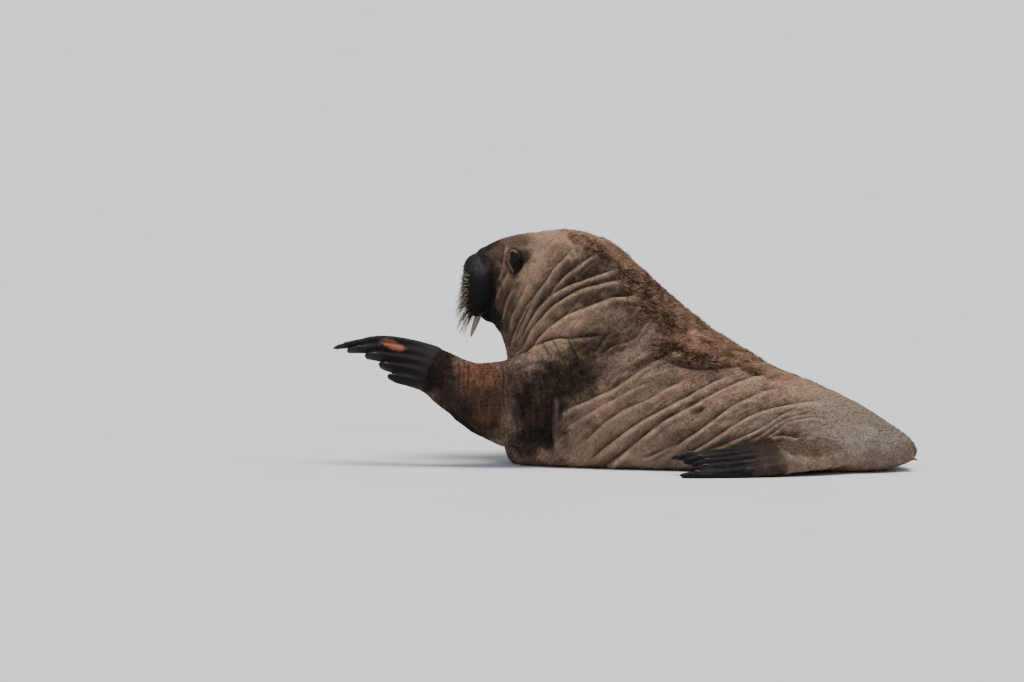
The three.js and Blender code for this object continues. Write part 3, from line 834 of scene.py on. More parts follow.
def limbs_of(spine: Spine) -> list[Limb]:
    """The four limbs, the right leg a mirror image of the left."""
    fore_left = (
        Joint((-120, -200, 290), (0, -1, 0.1), 138, 96),
        Joint((-265, -222, 248), (0, -1, 0.1), 176, 112),
        Joint((-420, -240, 236), (0, -1, 0.15), 166, 96),
        Joint((-572, -236, 280), (0, -0.95, 0.3), 114, 62),
        Joint((-700, -210, 356), (0, -0.85, 0.5), 94, 34),
        Joint((-885, -170, 394), (0, -0.8, 0.6), 96, 22),
        Joint((-1066, -132, 384), (-0.1, -0.8, 0.6), 58, 13),
    )
    fore_right = (
        Joint((-120, 190, 270), (-0.2, 0.6, 0.8), 150, 100),
        Joint((-135, 305, 215), (-0.2, 0.65, 0.75), 150, 96),
        Joint((-130, 410, 130), (-0.1, 0.6, 0.8), 128, 72),
        Joint((-100, 500, 48), (0, 0.3, 0.95), 104, 46),
        Joint((-20, 645, 16), (0, 0, 1), 104, 24),
        Joint((85, 790, 8), (0, 0, 1), 60, 13),
    )
    hind_left = (
        Joint((890, -392, 108), (0, -0.5, 0.85), 108, 80),
        Joint((805, -474, 98), (0, -0.5, 0.85), 102, 72),
        Joint((705, -548, 80), (0, -0.5, 0.85), 88, 56),
        Joint((592, -592, 62), (0, -0.5, 0.85), 80, 40),
        Joint((400, -616, 46), (0, -0.45, 0.88), 90, 24),
        Joint((190, -634, 34), (-0.1, -0.4, 0.9), 84, 14),
    )
    yaw = math.radians(29)
    normal = np.array([math.sin(yaw), math.cos(yaw), 0.0])
    hips = np.array([760.0, -330.0, 0.0])

    def flip(row: tuple[float, float, float], start: Array) -> tuple[float, float, float]:
        """The mirror image of a place or direction in the plane that divides the hips."""
        spot = np.array(row, float)
        return tuple(spot - 2 * ((spot - start) @ normal) * normal)

    hind_right = tuple(
        Joint(flip(j.at, hips), flip(j.dorsal, np.zeros(3)), j.across, j.thick) for j in hind_left
    )
    hand_left, hand_right = (1, 0.84, 0.65, 0.49, 0.38), (1, 0.9, 0.76, 0.64, 0.54)
    foot = (1, 0.9, 0.84, 0.87, 0.96)
    return [
        Limb(Part.ARM_LEFT, Part.HAND_LEFT, 1, 4, fore_left, hand_left, spine.shift),
        Limb(Part.ARM_RIGHT, Part.HAND_RIGHT, -1, 3, fore_right, hand_right, spine.shift),
        Limb(Part.LEG_LEFT, Part.FOOT_LEFT, 1, 3, hind_left, foot, spine.shift),
        Limb(Part.LEG_RIGHT, Part.FOOT_RIGHT, -1, 3, hind_right, foot, spine.shift),
    ]


# Meshes


def only_none() -> None:
    """Leaves nothing selected."""
    bpy.ops.object.select_all(action="DESELECT")


def only(piece: bpy.types.Object) -> None:
    """Leaves one object selected and active."""
    only_none()
    piece.select_set(True)
    bpy.context.view_layer.objects.active = piece


def settle(piece: bpy.types.Object) -> None:
    """Puts a piece's place, turn and size into its mesh."""
    only(piece)
    bpy.ops.object.transform_apply(location=True, rotation=True, scale=True)


@contextmanager
def editing(piece: bpy.types.Object) -> Iterator[None]:
    """Keeps a piece alone in edit mode."""
    only(piece)
    bpy.ops.object.mode_set(mode="EDIT")
    yield
    bpy.ops.object.mode_set(mode="OBJECT")


def alter(piece: bpy.types.Object, kind: str, **settings: "str | float") -> None:
    """Applies a modifier of some kind to the active piece."""
    made = piece.modifiers.new(kind.title(), kind)
    for name, value in settings.items():
        setattr(made, name, value)
    bpy.ops.object.modifier_apply(modifier=made.name)


def numbers(
    items: "bpy.types.bpy_prop_collection", name: str, width: int, kind: type = float
) -> Array:
    """Reads a property of each item, one item a row.

    Args:
        items: vertices, loops or the like.
        name: the property.
        width: how many numbers it has.
        kind: their type.

    Returns:
        The numbers.
    """
    flat = np.empty(len(items) * width, kind)
    items.foreach_get(name, flat)
    return flat.reshape(-1, width)


def points_of(piece: bpy.types.Object) -> Array:
    """A piece's vertices, one a row."""
    return numbers(piece.data.vertices, "co", 3)


def normals_of(piece: bpy.types.Object) -> Array:
    """The outward direction at each vertex."""
    return numbers(piece.data.vertices, "normal", 3)


def corners_of(data: bpy.types.Mesh, width: int = 3) -> Array:
    """The vertices at the corners of a mesh's faces, one face a row where all are triangles."""
    return numbers(data.loops, "vertex_index", 1, np.int32).reshape(-1, width)


def move_points(piece: bpy.types.Object, points: Array) -> None:
    """Gives a piece's vertices new places."""
    piece.data.vertices.foreach_set("co", np.ascontiguousarray(points).ravel())
    piece.data.update()


def store(piece: bpy.types.Object, name: str, values: Array) -> None:
    """Keeps one number for each vertex as an attribute."""
    made = piece.data.attributes.new(name, "FLOAT", "POINT")
    made.data.foreach_set("value", np.ascontiguousarray(values, np.float32))


def load(piece: bpy.types.Object, name: str) -> Array:
    """Reads back an attribute kept by store."""
    values = numbers(piece.data.attributes[name].data, "value", 1, np.float32)
    return values.ravel().astype(float)


def mesh_from(name: str, points: Array, faces: Array) -> bpy.types.Object:
    """A new object of triangles."""
    data = bpy.data.meshes.new(name)
    data.vertices.add(len(points))
    data.vertices.foreach_set("co", points.astype(np.float32).ravel())
    data.loops.add(faces.size)
    data.loops.foreach_set("vertex_index", faces.astype(np.int32).ravel())
    data.polygons.add(len(faces))
    starts = np.arange(0, faces.size, faces.shape[1], dtype=np.int32)
    data.polygons.foreach_set("loop_start", starts)
    data.update(calc_edges=True)
    data.shade_smooth()
    piece = bpy.data.objects.new(name, data)
    bpy.context.scene.collection.objects.link(piece)
    return piece


def copy_of_node(name: str, grow: float) -> bpy.types.Object:
    """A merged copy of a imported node, swollen a little.

    Args:
        name: the node.
        grow: distance that its surface moves outwards.

    Returns:
        The copy.
    """
    node = frame["nodes"][name]
    piece = node.copy()
    piece.data = node.data.copy()
    piece.parent = None
    piece.name = f"{name}_copy"
    bpy.context.scene.collection.objects.link(piece)
    with editing(piece):
        bpy.ops.mesh.select_all(action="SELECT")
        bpy.ops.mesh.remove_doubles(threshold=0.01 * MM)
    alter(piece, "DISPLACE", strength=grow, mid_level=0.0)
    return piece


class Net:
    """Which vertices of a mesh are joined, for smoothing numbers over it."""

    def __init__(self, piece: bpy.types.Object) -> None:
        """Reads the edges of a piece."""
        ends = numbers(piece.data.edges, "vertices", 2, np.int32)
        self.first, self.second = ends.T
        self.count = len(piece.data.vertices)
        self.degree = np.maximum(np.bincount(ends.ravel(), minlength=self.count), 1)

    def mean(self, values: Array) -> Array:
        """The mean of each vertex's neighbours."""
        columns = values.reshape(self.count, -1).T
        total = [
            np.bincount(self.first, column[self.second], self.count)
            + np.bincount(self.second, column[self.first], self.count)
            for column in columns
        ]
        return (np.stack(total, axis=1) / self.degree[:, None]).reshape(values.shape)

    def smooth(self, values: Array, times: int, weight: Array | float = 1.0) -> Array:
        """Values after some rounds of moving towards their neighbours' mean."""
        for _ in range(times):
            values = values + weight * (self.mean(values) - values)
        return values

    def relax(self, points: Array, times: int, weight: Array) -> Array:
        """Points smoothed so that the whole keeps its size."""
        once = self.smooth(points, times, weight)
        return once + self.smooth(points - once, times, weight)


# The face


@dataclass(frozen=True)
class Ball:
    """A rounded mass of the face, in millimetres, with its lateral place from the middle."""

    at: tuple[float, float, float]
    radii: tuple[float, float, float]
    tilt: float = 0.0
    turn: float = 0.0

    def centre(self, spine: Spine, side: int) -> Array:
        """Its centre on one side, in metres."""
        x, lateral, z = self.at
        return np.array([x, spine.eyes_middle[1] + side * lateral, z]) * MM + spine.shift

    def axes(self, side: int) -> Array:
        """Its own directions as rows."""
        tilt, turn = math.radians(self.tilt), math.radians(-side * self.turn)
        about_y = np.array([[math.cos(tilt), 0, math.sin(tilt)], [0, 1, 0],
                            [-math.sin(tilt), 0, math.cos(tilt)]])
        about_z = np.array([[math.cos(turn), -math.sin(turn), 0],
                            [math.sin(turn), math.cos(turn), 0], [0, 0, 1]])
        return (about_z @ about_y).T

    def depth(self, points: Array, spine: Spine, side: int) -> Array:
        """Distance of points outside its surface, negative within."""
        local = (points - self.centre(spine, side)) @ self.axes(side).T
        share = np.linalg.norm(local / (np.array(self.radii) * MM), axis=1)
        return np.linalg.norm(local, axis=1) * (1.0 - 1.0 / np.maximum(share, 1e-6))

    def add(self, spine: Spine, side: int) -> bpy.types.Object:
        """Makes it as a mesh."""
        only_none()
        bpy.ops.mesh.primitive_uv_sphere_add(
            segments=48, ring_count=32, radius=1.0, location=self.centre(spine, side),
            rotation=(0.0, math.radians(self.tilt), math.radians(-side * self.turn)),
            scale=np.array(self.radii) * MM,
        )
        piece = bpy.context.active_object
        settle(piece)
        return piece


@dataclass(frozen=True)
class Face:
    """The rounded masses and openings of the face."""

    pad: Ball = Ball((-527, 46, 632), (57, 56, 101), 4)
    snout: Ball = Ball((-520, 0, 700), (62, 72, 66))
    bridge: Ball = Ball((-480, 0, 733), (62, 60, 60))
    upper_lip: Ball = Ball((-530, 0, 668), (55, 62, 60))
    jaw: Ball = Ball((-470, 0, 550), (54, 52, 46))
    lip: Ball = Ball((-476, 0, 560), (57, 55, 20), -24)
    nostril: Ball = Ball((-562, 20, 741), (13, 5, 14), 45, 30)
    ear: Ball = Ball((-320, 128, 744), (6, 12, 7))
    eyeball: float = 17 * MM
    gaze: tuple[float, float, float] = (-0.3, 0.94, 0.12)

    def masses(self) -> list[tuple[Ball, int]]:
        """Each mass with the side it is on."""
        middle = (self.snout, self.bridge, self.upper_lip, self.jaw, self.lip)
        return [(self.pad, -1), (self.pad, 1)] + [(ball, 1) for ball in middle]

    def muzzle_depth(self, points: Array, spine: Spine) -> Array:
        """Distance outside the whisker pads and snout."""
        return np.min([self.pad.depth(points, spine, -1), self.pad.depth(points, spine, 1),
                       self.snout.depth(points, spine, 1)], axis=0)

    def jaw_depth(self, points: Array, spine: Spine) -> Array:
        """Distance outside the jaw and its lip."""
        return np.minimum(self.jaw.depth(points, spine, 1), self.lip.depth(points, spine, 1))

    def eye_centre(self, side: Side) -> Array:
        """The middle of an eyeball."""
        low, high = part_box(f"eye_{side.word}")
        return np.array((low + high) / 2)

    def look(self, side: Side) -> Array:
        """The direction in which an eye looks."""
        x, y, z = self.gaze
        return unit(np.array([x, side.value * y, z]))


# Markings


class Tint(Enum):
    """Colours that differ from the coat's own, some laid as painted shade and painted highlights.
    """

    DARK = "dark"
    RUST = "rust"
    SPOT = "spot"
    TAN = "tan"
    PALE = "pale"
    OLIVE = "olive"
    RUFF = "ruff"
    SHADE = "shade"
    # painted sheen along the digits, and the grey of the muzzle's top
    RIDGE = "digit"


@dataclass(frozen=True)
class Blot:
    """A soft-edged patch of colour, oval as it shows from the camera; some are markings, others
    painted shade and painted highlights.

    Args:
        tint: its colour.
        centre: its middle, in pixels of the photograph.
        radii: half its length and width, in pixels.
        turn: how far its length turns down from level, in degrees.
        strength: how much it covers at its middle.
        limb: True for arms and legs alone, False for the trunk alone.
    """

    tint: Tint
    centre: tuple[float, float]
    radii: tuple[float, float]
    turn: float
    strength: float
    limb: bool | None

    def cover(self, pixels: Array) -> Array:
        """How much of it lies on each pixel, from 0 to 1."""
        turn = math.radians(self.turn)
        way = np.array([math.cos(turn), math.sin(turn)])
        across = np.array([-way[1], way[0]])
        away = pixels - np.array(self.centre)
        distance = np.hypot(away @ way / self.radii[0], away @ across / self.radii[1])
        return self.strength * (1.0 - smoothstep(0.55, 1.35, distance))


# Blots over the coat's colour: some are real markings, others painted shade and painted highlights
# where light falls.
BLOT_ROWS: dict[tuple[Tint, bool | None], tuple[tuple[float, ...], ...]] = {
    (Tint.DARK, False): (
        (480, 251, 16, 9, -32, 0.8), (516.5, 266, 12.5, 7, 110, 1.0), (509.5, 260, 5, 10, 0, 0.9),
        (515, 256.5, 8.5, 8, 0, 0.85), (492, 320, 11, 10, 40, 0.9),
    ),
    (Tint.RIDGE, False): ((484, 263, 9, 15, 20, 0.8), (474, 262, 6, 9, 30, 0.5)),
    # black of the hand near the wrist, and painted shadow along the forearm's underside
    (Tint.DARK, True): ((412, 362, 36, 28, 12, 0.9), (470, 432, 40, 8, 40, 0.8)),
    # dark brown of the wrist and arm, partly painted shade on the arm's lower side
    (Tint.SHADE, True): (
        (436, 368, 26, 30, 12, 1.0), (470, 398, 44, 34, 20, 0.85), (480, 415, 34, 16, 40, 0.9),
        (452, 374, 9, 26, 0, 0.6),
    ),
    # dark brown of the face and neck, partly painted shade on the neck's lower side and under the
    # ruff's edge
    (Tint.SHADE, False): (
        (523, 256, 7, 9, 0, 0.8), (503, 273, 6, 9, 0, 0.55), (490, 244, 14, 6, -30, 0.8),
        (496, 262, 11, 24, 10, 0.5), (494, 285, 9, 40, 4, 0.85), (503, 314, 11, 38, 16, 0.7),
        (528, 318, 12, 34, 38, 0.4), (514, 241, 20, 7, -8, 0.6), (586, 267, 36, 14, -28, 0.75),
        (596, 290, 44, 11, -24, 0.6), (622, 299, 20, 9, -20, 0.55), (560, 298, 36, 8, -38, 0.3),
        (652, 361, 26, 6, -16, 0.55), (696, 409, 8, 4, -20, 0.9), (690, 376, 36, 7, -14, 0.35),
        (744, 442, 60, 8, -10, 0.5), (906, 453, 12, 14, 0, 0.25), (604, 318, 24, 12, -20, 0.3),
    ),
    # painted shadow round the shoulder and behind the arm
    (Tint.SHADE, None): (
        (598, 344, 34, 15, -16, 0.8), (622, 330, 26, 14, -10, 0.5), (560, 380, 44, 24, -14, 0.95),
        (540, 405, 30, 40, 0, 0.95), (515, 385, 24, 24, 0, 0.75),
    ),
    # painted shadow under the chest and down the crease behind the arm
    (Tint.DARK, None): ((531, 440, 24, 17, 0, 0.8), (552, 432, 5, 26, 0, 0.5)),
    (Tint.RUST, True): (
        (463, 372, 8.5, 24, 0, 0.45), (482, 374, 20, 20, 0, 0.95), (484, 402, 13, 26, 0, 0.35),
        (430, 360, 20, 12, 20, 0.25),
    ),
    (Tint.SPOT, True): ((394, 344.5, 15, 5.5, 20, 0.85),),
    # pale tan band behind the eye, and painted highlights on the head's top, along the back's upper
    # edge and on the hip
    (Tint.TAN, False): (
        (530, 273, 40, 9, 119, 1.0), (559, 236, 34, 9, 3, 0.95), (507, 243, 3, 6, 0, 0.6),
        (507, 266, 2.5, 7, -26, 0.3), (557, 324, 38, 12, -26, 0.9), (604, 403, 14, 22, 0, 0.7),
        (722, 435, 46, 13, -26, 0.95), (617, 256, 34, 5, 34, 0.9), (600, 438, 40, 16, -35, 0.5),
        (818, 402, 42, 11, 22, 0.95), (696, 334, 48, 8, 42, 0.9), (752, 366, 44, 9, 30, 0.95),
        (660, 400, 64, 14, -34, 0.5), (735, 390, 60, 12, -18, 0.35), (700, 345, 30, 8, 16, 0.9),
    ),
    # painted highlight along the shoulder's ridge
    (Tint.TAN, None): ((545, 345, 30, 7, -12, 0.65),),
    (Tint.PALE, None): ((852, 428, 66, 30, 18, 0.8),),
    (Tint.PALE, False): ((742, 430, 52, 13, -18, 0.55),),
    (Tint.OLIVE, True): ((758, 445, 25, 13, 0, 1.1),),
    (Tint.OLIVE, None): ((798, 446, 44, 11, 0, 0.65),),
    (Tint.RUFF, False): (
        (652, 300, 54, 17, 50, 1.0), (594, 246, 34, 7, 27, 1.0), (634, 304, 8, 24, -20, 0.9),
        (697, 352, 47, 14, 10, 1.0), (664, 351, 14, 9, 0, 1.0), (748, 365, 36, 7, 24, 0.75),
    ),
}
BLOTS = tuple(
    Blot(tint, row[:2], row[2:4], *row[4:], limb)
    for (tint, limb), rows in BLOT_ROWS.items() for row in rows
)


# The skin


SOFTNESS = {
    Part.HEAD: 9.0,
    Part.MUZZLE: 4.5,
    Part.NECK: 28.0,
    Part.CHEST: 30.0,
    Part.TORSO: 30.0,
    Part.HIPS: 24.0,
    Part.ARM_LEFT: 16.0,
    Part.ARM_RIGHT: 16.0,
    Part.LEG_LEFT: 14.0,
    Part.LEG_RIGHT: 14.0,
    Part.HAND_LEFT: 3.5,
    Part.HAND_RIGHT: 3.5,
    Part.FOOT_LEFT: 3.5,
    Part.FOOT_RIGHT: 3.5,
}


@dataclass
class Hide:
    """The skin, one closed surface from the lips to the fingertips.

    Args:
        spine: sections of the trunk.
        view: where places show in the photograph.
        face: masses and openings of the face.
        limbs: the arms and legs.
        voxel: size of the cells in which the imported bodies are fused.
        overlap: how far those bodies are swollen so that they meet.
        coat: depth of the fur that stands on the skin.
        limit: most triangles that the finished skin has.
        opening: half width and half height of the opening between the lids, as sines off the gaze.
        socket: radius of the ball that fills each eye's place before the lids are laid.
        near_opening: how near an eye or nostril faces are divided once, and twice.
        near_mouth: how near the mouth they are divided.
        near_crease: how near a crease they are divided.
        floor: height below which the skin lies flat on the floor.
    """

    spine: Spine
    view: PhotoView
    face: Face
    limbs: list[Limb]
    voxel: float = 5 * MM
    overlap: float = 0.7 * MM
    coat: float = 3.0 * MM
    limit: int = 190_000
    opening: tuple[float, float] = (0.87, 0.78)
    socket: float = 21 * MM
    near_opening: tuple[float, float] = (34 * MM, 21 * MM)
    near_mouth: float = 18 * MM
    near_crease: float = 12 * MM
    floor: float = 2.5 * MM
    piece: bpy.types.Object = field(init=False)
    share: dict[Part, Array] = field(init=False, default_factory=dict)
    marks: dict[str, Array] = field(init=False, default_factory=dict)

    def build(self) -> bpy.types.Object:
        """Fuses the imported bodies, softens them, and cuts the folds and the face."""
        self.piece = self._fuse()
        self._soften(self._labels(points_of(self.piece)))
        self._refine()
        self._fold()
        self._shape_face()
        self._shape_hands()
        self._sink()
        self._thin()
        self._mark()
        data = self.piece.data
        LOG.info("hide: %d vertices, %d faces", len(data.vertices), len(data.polygons))
        return self.piece

    def _deepen(self, name: str, values: Array) -> None:
        """Raises a mark to some values wherever they are higher."""
        self.marks[name] = np.maximum(self.marks.get(name, 0.0), values)

    def _fuse(self) -> bpy.types.Object:
        """Joins copies of the flesh nodes and the masses of the face into one closed surface."""
        names = [name for part in PARTS if part is not Part.MUZZLE for name in part.value]
        names.remove("jaw")
        hands = {name for part in HANDS for name in part.value}
        extra = {name: 1.5 * MM if name in hands else 0.0 for name in names}
        copies = [copy_of_node(name, self.overlap + extra[name]) for name in names]
        copies += [ball.add(self.spine, side) for ball, side in self.face.masses()]
        for side in Side:
            only_none()
            bpy.ops.mesh.primitive_uv_sphere_add(
                segments=32, ring_count=24, radius=self.socket, location=self.face.eye_centre(side)
            )
            copies.append(bpy.context.active_object)
            settle(copies[-1])
        only(copies[0])
        for copy in copies:
            copy.select_set(True)
        bpy.ops.object.join()
        piece = bpy.context.view_layer.objects.active
        piece.name = piece.data.name = "hide"
        alter(piece, "REMESH", mode="VOXEL", voxel_size=self.voxel)
        highest = int(np.argmax(points_of(piece)[:, 2]))
        with editing(piece):
            bpy.ops.mesh.select_mode(type="VERT")
            bpy.ops.mesh.select_all(action="DESELECT")
        piece.data.vertices[highest].select = True
        with editing(piece):
            bpy.ops.mesh.select_linked()
            bpy.ops.mesh.select_all(action="INVERT")
            bpy.ops.mesh.delete(type="VERT")
        piece.data.materials.clear()
        piece.data.shade_smooth()
        LOG.info("hide fused: %d vertices", len(piece.data.vertices))
        return piece

    def _divide(self, chosen: Array) -> None:
        """Divides the faces all of whose corners are chosen."""
        data = self.piece.data
        loops = corners_of(data, 1).ravel()
        starts = numbers(data.polygons, "loop_start", 1, np.int32).ravel()
        inside = np.minimum.reduceat(chosen[loops].astype(int), starts).astype(bool)
        bpy.context.tool_settings.mesh_select_mode = (False, False, True)
        data.vertices.foreach_set("select", np.zeros(len(data.vertices), bool))
        data.edges.foreach_set("select", np.zeros(len(data.edges), bool))
        data.polygons.foreach_set("select", inside)
        with editing(self.piece):
            bpy.ops.mesh.subdivide(number_cuts=1, smoothness=0.0)

    def _openings(self, points: Array) -> Array:
        """Distance from the nearest opening of the face."""
        face, lids = self.face, 24 * MM
        away = []
        for side in Side:
            nostril = face.nostril.centre(self.spine, side.value)
            away.append(np.linalg.norm(points - face.eye_centre(side), axis=1) - lids)
            away.append(np.linalg.norm(points - nostril, axis=1))
        return np.min(away, axis=0)

    def _refine(self) -> None:
        """Gives the mouth, nostrils, eyes and creases smaller faces."""
        for part, values in self.share.items():
            store(self.piece, part.name, values)
        coarse = len(self.piece.data.vertices)
        points, face = points_of(self.piece), self.face
        mouth = np.hypot(face.muzzle_depth(points, self.spine), face.jaw_depth(points, self.spine))
        pixels = self._pixels(points, self.spine.locate(points))
        creased = np.zeros(len(points), bool)
        for crease in CREASES:
            signed, _, index = crease.measure(pixels, self.view.pixel)
            creased[index[np.abs(signed) < self.near_crease]] = True
        creased &= self._trunk() + self.share[Part.ARM_LEFT] > 0.3
        once, twice = self.near_opening
        self._divide(creased | (self._openings(points) < once) | (mouth < self.near_mouth))
        self._divide(self._openings(points_of(self.piece)) < twice)
        for part in PARTS:
            self.share[part] = load(self.piece, part.name)
            self.piece.data.attributes.remove(self.piece.data.attributes[part.name])
        fresh = (np.arange(len(self.piece.data.vertices)) >= coarse).astype(float)
        net = Net(self.piece)
        fresh = net.smooth(fresh, 2)
        move_points(self.piece, net.smooth(points_of(self.piece), 4, 0.5 * fresh[:, None]))
        LOG.info("hide refined: %d vertices", len(fresh))

    def _labels(self, points: Array) -> Array:
        """The part of the animal that each point belongs to."""
        corners, faces, owner = [], [], []
        base = 0
        for index, part in enumerate(PARTS):
            for name in part.value:
                data = frame["nodes"][name].data
                corners.append(numbers(data.vertices, "co", 3))
                faces.append(corners_of(data) + base)
                owner += [index] * len(data.polygons)
                base += len(data.vertices)
        tree = BVHTree.FromPolygons(np.vstack(corners).tolist(), np.vstack(faces).tolist())
        owners = np.array(owner)
        found = [tree.find_nearest(Vector(point))[2] for point in points.tolist()]
        return owners[np.array(found)]

    def _soften(self, labels: Array) -> None:
        """Smooths the facets away, most on the trunk and least on the face and hands."""
        net = Net(self.piece)
        for index, part in enumerate(PARTS):
            self.share[part] = net.smooth((labels == index).astype(float), 12)
        most = max(SOFTNESS.values())
        weight = sum(self.share[part] * (soft / most) ** 2 for part, soft in SOFTNESS.items())
        rounds = int(2 * (most * MM / self.voxel) ** 2)
        points = net.relax(points_of(self.piece), rounds, weight[:, None])
        move_points(self.piece, points)

    def _trunk(self) -> Array:
        """Share of each vertex in the head and trunk."""
        return sum(self.share[part] for part in PARTS if part not in LIMBS + HANDS)

    def _pixels(self, points: Array, found: dict[str, Array]) -> Array:
        """Where points show in the photograph, those of the far side as if on the near one."""
        far = found["lateral"] > 0
        pixels = self.view.project(self.spine.on_near_side(points, found))
        for column, seed in enumerate((Seed.SHIFT_ACROSS, Seed.SHIFT_DOWN)):
            pixels[:, column] += np.where(far, 2.2, 0.5) * waves(points, 0.22, seed)
        return pixels

    def _fold(self) -> None:
        """Cuts the creases between folds of skin, on the near side and alike on the far one, and
        marks the painted shade along each crease and the painted highlight on its roll.
        """
        points, normals = points_of(self.piece), normals_of(self.piece)
        found = self.spine.locate(points)
        far = found["lateral"] > 0
        pixels = self._pixels(points, found)
        arm = self.share[Part.ARM_LEFT]
        trunk = self._trunk()
        zones = {Zone.TRUNK: trunk, Zone.ARM: arm, Zone.ALL: np.minimum(1.0, trunk + arm)}
        near_only = np.where(far, 0.0, 1.0)
        facing = np.abs(dots(normals, found["side"]))
        facing = smoothstep(0.1, 0.42, facing - np.where(far, 0.28, 0.0))
        move = np.zeros(len(points))
        fold, crest_highlight = np.zeros(len(points)), np.zeros(len(points))
        uneven = waves(points, 0.07, Seed.FOLD)
        for crease in CREASES:
            signed, along, index = crease.measure(pixels, self.view.pixel)
            if not len(index):
                continue
            zone = zones[crease.zone][index]
            if crease.zone is not Zone.TRUNK:
                zone = zone * near_only[index]
            strength = zone * smoothstep(0.0, 0.14, along) * smoothstep(0.0, 0.14, 1.0 - along)
            strength = strength * (1.0 + 0.1 * uneven[index]) * facing[index]
            above = signed * math.copysign(1.0, crease.roll)
            wide = crease.width * MM
            width = wide * np.where(above > 0, 1.5, 0.6)
            sharp = np.exp(-np.abs(above) / (0.4 * width))
            profile = 0.5 * sharp + 0.5 * bell(above, 1.5 * width)
            rise = (1.4 * abs(crease.roll) + 1.5) * bell(above + 1.3 * wide, 1.1 * wide)
            move[index] += strength * MM * (rise - 1.12 * crease.depth * profile)
            # painted shade: a dark line down each crease and a wider fall of shade on the roll's
            # underside
            line = np.exp(-((np.abs(above) / (0.22 * wide)) ** 1.2))
            under = 0.6 * np.exp(-np.abs(above) / (1.0 * wide)) * (above > 0)
            line = np.maximum(line, under) * strength * crease.depth / 10.0
            fold[index] = np.maximum(fold[index], np.minimum(1.0, line))
            # painted highlight on the roll beside each crease, none where the roll lies above the
            # line, and weaker off the trunk
            painted_highlight = bell(above + 1.15 * wide, 0.85 * wide) * strength
            bright = 0.0 if crease.roll < 0 else 1.0 if crease.zone is Zone.TRUNK else 0.3
            crest_highlight[index] = np.maximum(crest_highlight[index], bright * painted_highlight * min(1.0, crease.depth / 11.0))
        self.marks["fold"], self.marks["crest_highlight"] = fold, crest_highlight
        move_points(self.piece, points + move[:, None] * normals)
        self._wrinkle(found)

    def _wrinkle(self, found: dict[str, Array]) -> None:
        """Raises small uneven wrinkles that follow the folds."""
        points, normals = points_of(self.piece), normals_of(self.piece)
        scales = {"along": 0.14, "angle": 0.06, "height": 0.1}
        ring = np.stack([found[name] * scale for name, scale in scales.items()], axis=1)
        ring[:, 0] += 0.012 * waves(points, 0.15, Seed.WRINKLE_BEND)
        lines = 1.0 - np.abs(waves(ring, 0.034, Seed.WRINKLE, 20))
        lumps = waves(points, 0.12, Seed.LUMP)
        trunk = self._trunk() - self.share[Part.MUZZLE] - 0.6 * self.share[Part.HEAD]
        calm = 1.0 - 0.6 * np.clip(self.marks["fold"], 0, 1)
        height = 1.2 * MM * lines * calm + 0.5 * MM * lumps
        limbs = sum(self.share[part] for part in LIMBS)
        fine = waves(points, 0.035, Seed.LIMB)
        height = height * trunk + limbs * (0.6 * MM * lumps + 0.7 * MM * fine)
        move_points(self.piece, points + height[:, None] * normals)

    def _shape_face(self) -> None:
        """Cuts the mouth, nostrils and ears, and lays the lids over the eyes."""
        points, normals = points_of(self.piece), normals_of(self.piece)
        face, spine = self.face, self.spine
        muzzle, jaw = face.muzzle_depth(points, spine), face.jaw_depth(points, spine)
        mouth = bell(np.hypot(muzzle, jaw), 6 * MM)
        move = -8 * MM * mouth
        middle = spine.face_middle
        cleft = bell(points[:, 1] - middle, 5 * MM) * bell(muzzle, 20 * MM)
        front = smoothstep(0.0, 0.02, face.pad.centre(spine, 1)[0] - points[:, 0])
        move -= 4 * MM * cleft * front
        nostril = np.zeros(len(points))
        for side in Side:
            hole = face.nostril.depth(points, spine, side.value)
            nostril = np.maximum(nostril, 1.0 - smoothstep(-3 * MM, 3 * MM, hole))
            pit = face.ear.depth(points, spine, side.value)
            move -= 6 * MM * (1.0 - smoothstep(-3 * MM, 5 * MM, pit))
        move -= 9 * MM * nostril
        points = points + move[:, None] * normals
        aside = smoothstep(50 * MM, 72 * MM, np.abs(points[:, 1] - middle))
        behind = smoothstep(0.0, 25 * MM, points[:, 0] - face.pad.centre(spine, 1)[0])
        seam = bell(muzzle - 20 * MM, 5 * MM) * aside * behind
        full = bell(muzzle - 8 * MM, 8 * MM) * aside * behind
        points = points + (MM * (5 * full - 6 * seam))[:, None] * normals
        # painted shade along the seam behind the whisker pads
        self._deepen("fold", 0.95 * seam)
        self.marks["dark"] = 1.0 - smoothstep(12 * MM, 26 * MM, muzzle)
        for side in Side:
            points = self._lay_lids(points, side)
        move_points(self.piece, points)

